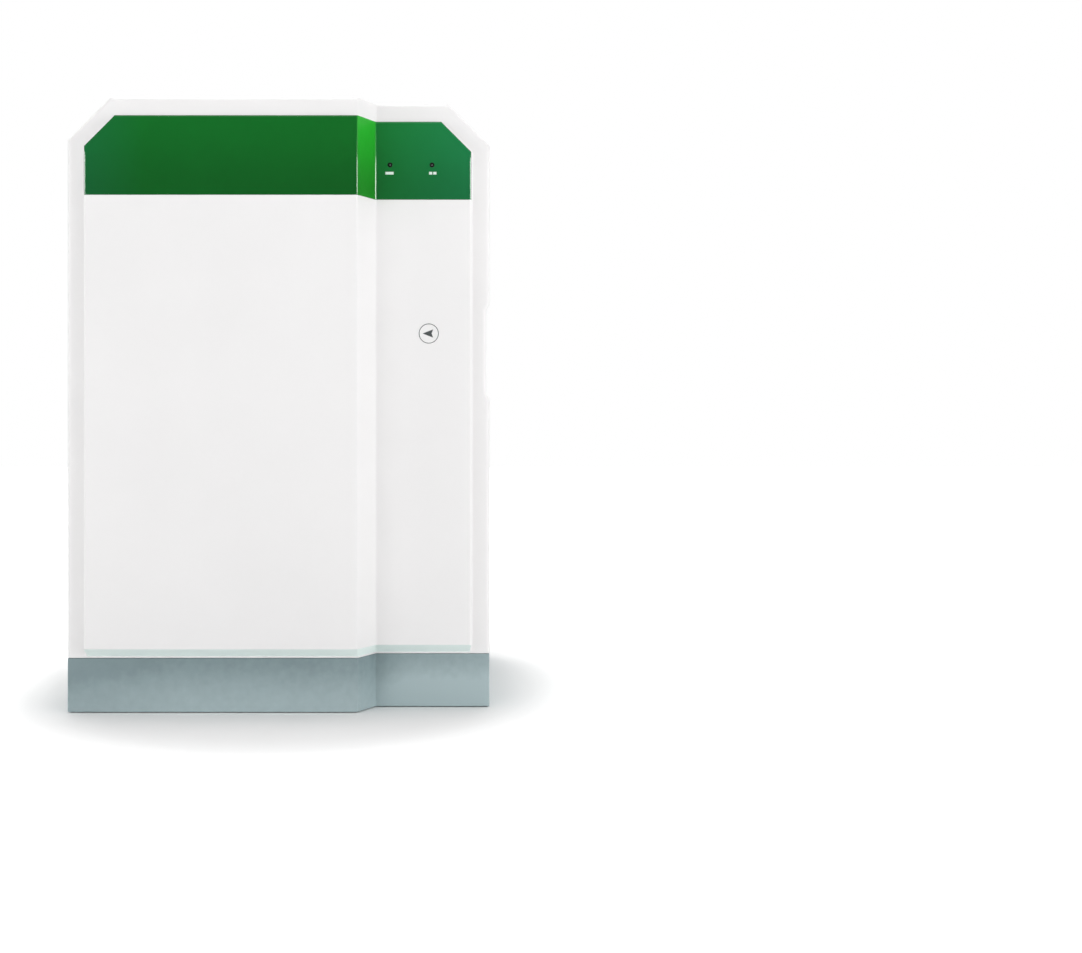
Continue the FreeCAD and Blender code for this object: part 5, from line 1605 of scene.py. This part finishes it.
@dataclass(frozen=True)
class PrintedMarks:
    """Generic printed marks: bars by the lamps, on and off by the switch, and row numbers.

    A lamp bar is (middle, half width), with the middle counted from the box of the two bezels: from its
    left side for the left lamp's bar, and from its right side for the right lamp's two. The switch's bar
    spans two heights over its body, and its ring is so far under it.
    """

    left_bar: Span = (3.2, 4.9)
    right_bars: tuple[Span, ...] = ((-5.4, 1.9), (-0.4, 1.9))
    bar_gap: float = 4.4
    bar_height: float = 3.2
    on_heights: Span = (3.0, 8.0)
    on_half: float = 0.5
    off_ring: Span = (1.9, 2.6)
    off_points: int = 40
    off_gap: float = 5.6
    number_x: float = 226.5
    number_size: float = 11.0
    number_half_thick: float = 0.06
    rows: int = 7

    def lamp_bars(self) -> bpy.types.Object:
        """One bar under the left lamp and two short ones under the right one.

        Returns:
            The piece.
        """
        low, high = node_box("led_bezels")
        face = Door().right_face
        top = float(low[2]) - self.bar_gap
        places = [(low[0] + self.left_bar[0], self.left_bar[1])]
        places.extend((high[0] + middle, half) for middle, half in self.right_bars)
        bars = [
            block((x - half, face - INK_THICK, top - self.bar_height), (x + half, face + INK_SUNK, top))
            for x, half in places
        ]
        piece = write_piece("printed_lamp_bars", gathered(bars), (INK_WHITE,))
        return seat(piece, "door", "white_moulding")

    def switch_marks(self) -> bpy.types.Object:
        """A bar over the switch and a ring under it, on the rear panel.

        Returns:
            The piece.
        """
        low, high = node_box("switch_body")
        face = float(node_box("rear_panel")[1][1])
        x = float(low[0] + high[0]) / 2.0
        foot, top = (high[2] + height for height in self.on_heights)
        bar = block((x - self.on_half, face - INK_SUNK, foot), (x + self.on_half, face + INK_THICK, top))
        ring = printed_ring(*self.off_ring, self.off_points, (x, face, low[2] - self.off_gap), 1.0)
        piece = write_piece("printed_switch_marks", gathered([bar, ring]), (INK_DARK,))
        return seat(piece, "cabinet", "white_paint")

    def row_number(self, row: int) -> bpy.types.Object:
        """Number of one row, at its tray's height on the front frame's right upright.

        The text lies in a plane of its own, with its thickness along Z, and is turned so that its X, Y
        and Z become the frame's X, Z and -Y.

        Args:
            row: the row, counted from the lowest one up.

        Returns:
            The piece.
        """
        text = bpy.data.curves.new(f"row_number_{row}", "FONT")
        text.body = str(row)
        text.size, text.extrude = metres(self.number_size, self.number_half_thick)
        text.align_x = "CENTER"
        text.align_y = "CENTER"
        draft = linked(text.name, text)
        mesh = settled_mesh(draft)
        bpy.data.objects.remove(draft)
        flat = np.zeros(len(mesh.vertices) * 3)
        mesh.vertices.foreach_get("co", flat)
        across, up, out = flat.reshape(-1, 3).T
        low, high = node_box(f"tray_{row}")
        face = float(node_box("front_frame")[0][1]) - self.number_half_thick
        x, y, z = metres(self.number_x, face, float(low[2] + high[2]) / 2.0)
        mesh.vertices.foreach_set("co", np.stack([across + x, y - out, up + z], axis=-1).reshape(-1))
        mesh.update()
        mesh.materials.clear()
        mesh.materials.append(INK_DARK.material())
        return seat(linked(f"printed_row_{row}", mesh), "cabinet", "white_liner")

    def build(self) -> None:
        """Makes all the marks."""
        self.lamp_bars()
        self.switch_marks()
        for row in range(1, self.rows + 1):
            self.row_number(row)


# Copies of CAD nodes with merged faces and smooth shading

ROUNDED_NODES = {"cabinet_shell": 0.6, "rear_panel": 0.4}
OWN_PIECES = {
    "door_shell", "door_fascia", "led_bezels", "indicator_leds", "base_plinth", "rubber_feet",
    "rear_bumpers", "panel_screws",
}


@dataclass(frozen=True)
class NodeCopies:
    """Finished copies of the CAD nodes that have no piece of their own.

    Faces that meet at less than flat_angle degrees are merged. On the nodes in ROUNDED_NODES, edges that
    turn by more than round_angle degrees are rounded.
    """

    flat_angle: float = 0.4
    round_angle: float = 40.0
    round_segments: int = 2

    def copy(self, node: str, body: str, slot: str, rounding: float) -> bpy.types.Object:
        """Copy of one CAD node.

        Args:
            node: the CAD node.
            body: the body it rides on.
            slot: its material slot.
            rounding: width of the edge rounding in millimetres, or 0.

        Returns:
            The piece that stands for the node.
        """
        name = f"{node}_finished"
        mesh = frame["nodes"][node].data.copy()
        mesh.name = name
        work = bmesh.new()
        work.from_mesh(mesh)
        bmesh.ops.remove_doubles(work, verts=work.verts, dist=SAME_CORNER)
        flat = math.radians(self.flat_angle)
        bmesh.ops.dissolve_limit(work, angle_limit=flat, verts=work.verts, edges=work.edges)
        work.to_mesh(mesh)
        work.free()
        mesh.materials.clear()
        mesh.materials.append(SLOT_FINISH[slot].material())
        shade(mesh)
        piece = linked(name, mesh)
        if rounding:
            bevel = piece.modifiers.new("rounded", "BEVEL")
            bevel.width = rounding * MM
            bevel.segments = self.round_segments
            bevel.limit_method = "ANGLE"
            bevel.angle_limit = math.radians(self.round_angle)
            bevel.harden_normals = True
        return seat(piece, body, slot, node)

    def build(self) -> None:
        """Gives every node of the record a copy, apart from those with a piece of their own."""
        record = frame["record"]
        bodies = {node: body for body, nodes in record["behaviour"]["bodies"].items() for node in nodes}
        for part in record["subparts"]:
            node = part["node"]
            if node not in OWN_PIECES:
                self.copy(node, bodies[node], part["material_slot"], ROUNDED_NODES.get(node, 0.0))


# Light, floor and camera


@dataclass(frozen=True)
class Lamp:
    """One soft rectangular lamp: its place, target and size in metres, and its power in watts."""

    name: str
    place: tuple[float, float, float]
    target: tuple[float, float, float]
    size: Span
    power: float

    def build(self) -> None:
        """Adds the lamp, aimed at its target."""
        data = bpy.data.lights.new(self.name, "AREA")
        data.shape = "RECTANGLE"
        data.size, data.size_y = self.size
        data.energy = self.power
        lamp = linked(self.name, data)
        lamp.location = self.place
        aim = Vector(self.target) - Vector(self.place)
        lamp.rotation_euler = aim.to_track_quat("-Z", "Y").to_euler()


@dataclass(frozen=True)
class Studio:
    """White backdrop, an even ambient light, and soft lamps in front, beside and above.

    front and back are the strengths of the light that comes from the camera's side and from behind the
    object, gloss and mirrored_back are what mirrors see of the two, and turn is where one passes into the
    other. The floor glows for the camera by floor_glow from glow_span metres outwards, a distance that
    counts glow_stretch times along each axis. The glow is painted light: the ellipse round the object that
    it leaves out stays darker, a painted shadow round the lamps' own shadow.
    """

    front: float = 0.32
    back: float = 0.76
    gloss: float = 0.10
    mirrored_back: float = 0.85
    turn: Span = (-0.15, 0.35)
    floor_colour: Rgb = linear(244, 244, 244)
    floor_roughness: float = 0.9
    floor_half: float = 14.0
    floor_glow: float = 0.85
    glow_span: Span = (0.42, 0.86)
    glow_stretch: tuple[float, float, float] = (1.6, 1.0, 1.0)
    lamps: tuple[Lamp, ...] = (
        Lamp("front_left", (-1.5, -2.1, 0.40), (0.0, -0.2, 0.35), (1.0, 0.5), 8.2),
        Lamp("front_right", (1.8, -1.8, 0.28), (0.0, -0.2, 0.30), (1.0, 0.5), 10.5),
        Lamp("above", (-0.05, 0.76, 4.5), (0.0, 0.0, 0.0), (1.7, 1.7), 67.0),
        Lamp("top_front", (0.1, -1.0, 1.55), (0.05, -0.25, 0.70), (0.9, 0.3), 3.8),
        Lamp("glint_left", (-2.0, -0.85, 0.91), (-0.2, -0.25, 0.64), (0.9, 0.14), 7.5),
        Lamp("glint_right", (2.05, -0.75, 0.91), (0.2, -0.22, 0.64), (0.9, 0.14), 7.5),
    )

    def world(self) -> None:
        """White for the camera; for the other rays, even light with a dimmer camera side."""
        world = bpy.data.worlds.new("studio_world")
        bpy.context.scene.world = world
        shader = Shader(world)
        direction = shader.node("ShaderNodeTexCoord", {}, {}, "Generated")
        _, forward, _ = shader.axes(direction)
        seen = shader.node("ShaderNodeLightPath", {}, {}, "Is Camera Ray")
        mirrored = shader.node("ShaderNodeLightPath", {}, {}, "Is Glossy Ray")
        near = self.front + mirrored * (self.gloss - self.front)
        far = self.back + mirrored * (self.mirrored_back - self.back)
        behind = forward.above(*self.turn)
        around = near * (1.0 - behind) + behind * far
        strength = seen + (1.0 - seen) * around
        glow = shader.node("ShaderNodeBackground", {}, {"Color": (1.0, 1.0, 1.0), "Strength": strength})
        shader.node("ShaderNodeOutputWorld", {}, {"Surface": glow})

    def floor_material(self) -> bpy.types.Material:
        """White floor that keeps the object's shadow and, further out, glows a little for the camera with
        painted light, which leaves a painted shadow round the object.

        Returns:
            The material.
        """
        made = bpy.data.materials.new("studio_floor")
        shader = Shader(made)
        seen = shader.node("ShaderNodeLightPath", {}, {}, "Is Camera Ray")
        stretched = {0: shader.place(), 1: self.glow_stretch}
        spread = shader.node("ShaderNodeVectorMath", {"operation": "MULTIPLY"}, stretched)
        reach = shader.node("ShaderNodeVectorMath", {"operation": "LENGTH"}, {0: spread}, "Value")
        # Painted light: the glow is left out of an ellipse round the object, which stays darker as a
        # painted shadow
        glow = seen * self.floor_glow * reach.above(*self.glow_span)
        shader.surface(
            {
                "Base Color": self.floor_colour,
                "Roughness": self.floor_roughness,
                "Specular IOR Level": 0.0,
                "Emission Color": shader.mix(glow, (0.0, 0.0, 0.0), (1.0, 1.0, 1.0)),
                "Emission Strength": 1.0,
            }
        )
        return made

    def floor(self) -> None:
        """Large pale floor under the feet."""
        reach = self.floor_half
        corners = [(-reach, -reach, 0.0), (reach, -reach, 0.0), (reach, reach, 0.0), (-reach, reach, 0.0)]
        mesh = bpy.data.meshes.new("floor")
        mesh.from_pydata(corners, [], [(0, 1, 2, 3)])
        mesh.materials.append(self.floor_material())
        linked("floor", mesh)

    def build(self) -> None:
        """Sets up world, floor and lamps."""
        self.world()
        self.floor()
        for lamp in self.lamps:
            lamp.build()


@dataclass(frozen=True)
class Viewpoint:
    """Camera that looks straight along +Y, shifted to the photograph's framing.

    place is in metres, lens and sensor in millimetres, and shift in widths of the picture.
    """

    place: tuple[float, float, float] = (0.1816, -2.255, 0.3302)
    lens: float = 56.43
    sensor: float = 36.0
    shift: Span = (0.0998, -0.0402)

    def build(self) -> None:
        """Adds the camera and makes it the scene's own."""
        data = bpy.data.cameras.new("camera")
        data.lens = self.lens
        data.sensor_width = self.sensor
        data.shift_x, data.shift_y = self.shift
        camera = linked("camera", data)
        camera.location = self.place
        camera.rotation_euler = (math.pi / 2.0, 0.0, 0.0)
        bpy.context.scene.camera = camera


def main() -> None:
    """Builds every class in order."""
    logging.basicConfig(level=logging.INFO, format="%(message)s")
    bpy.context.scene.view_settings.view_transform = "Standard"
    Viewpoint().build()
    Studio().build()
    Door().build()
    Plinth().build()
    for parts in TURNED:
        parts.build()
    PrintedMarks().build()
    NodeCopies().build()


if __name__ == "__main__":
    main()
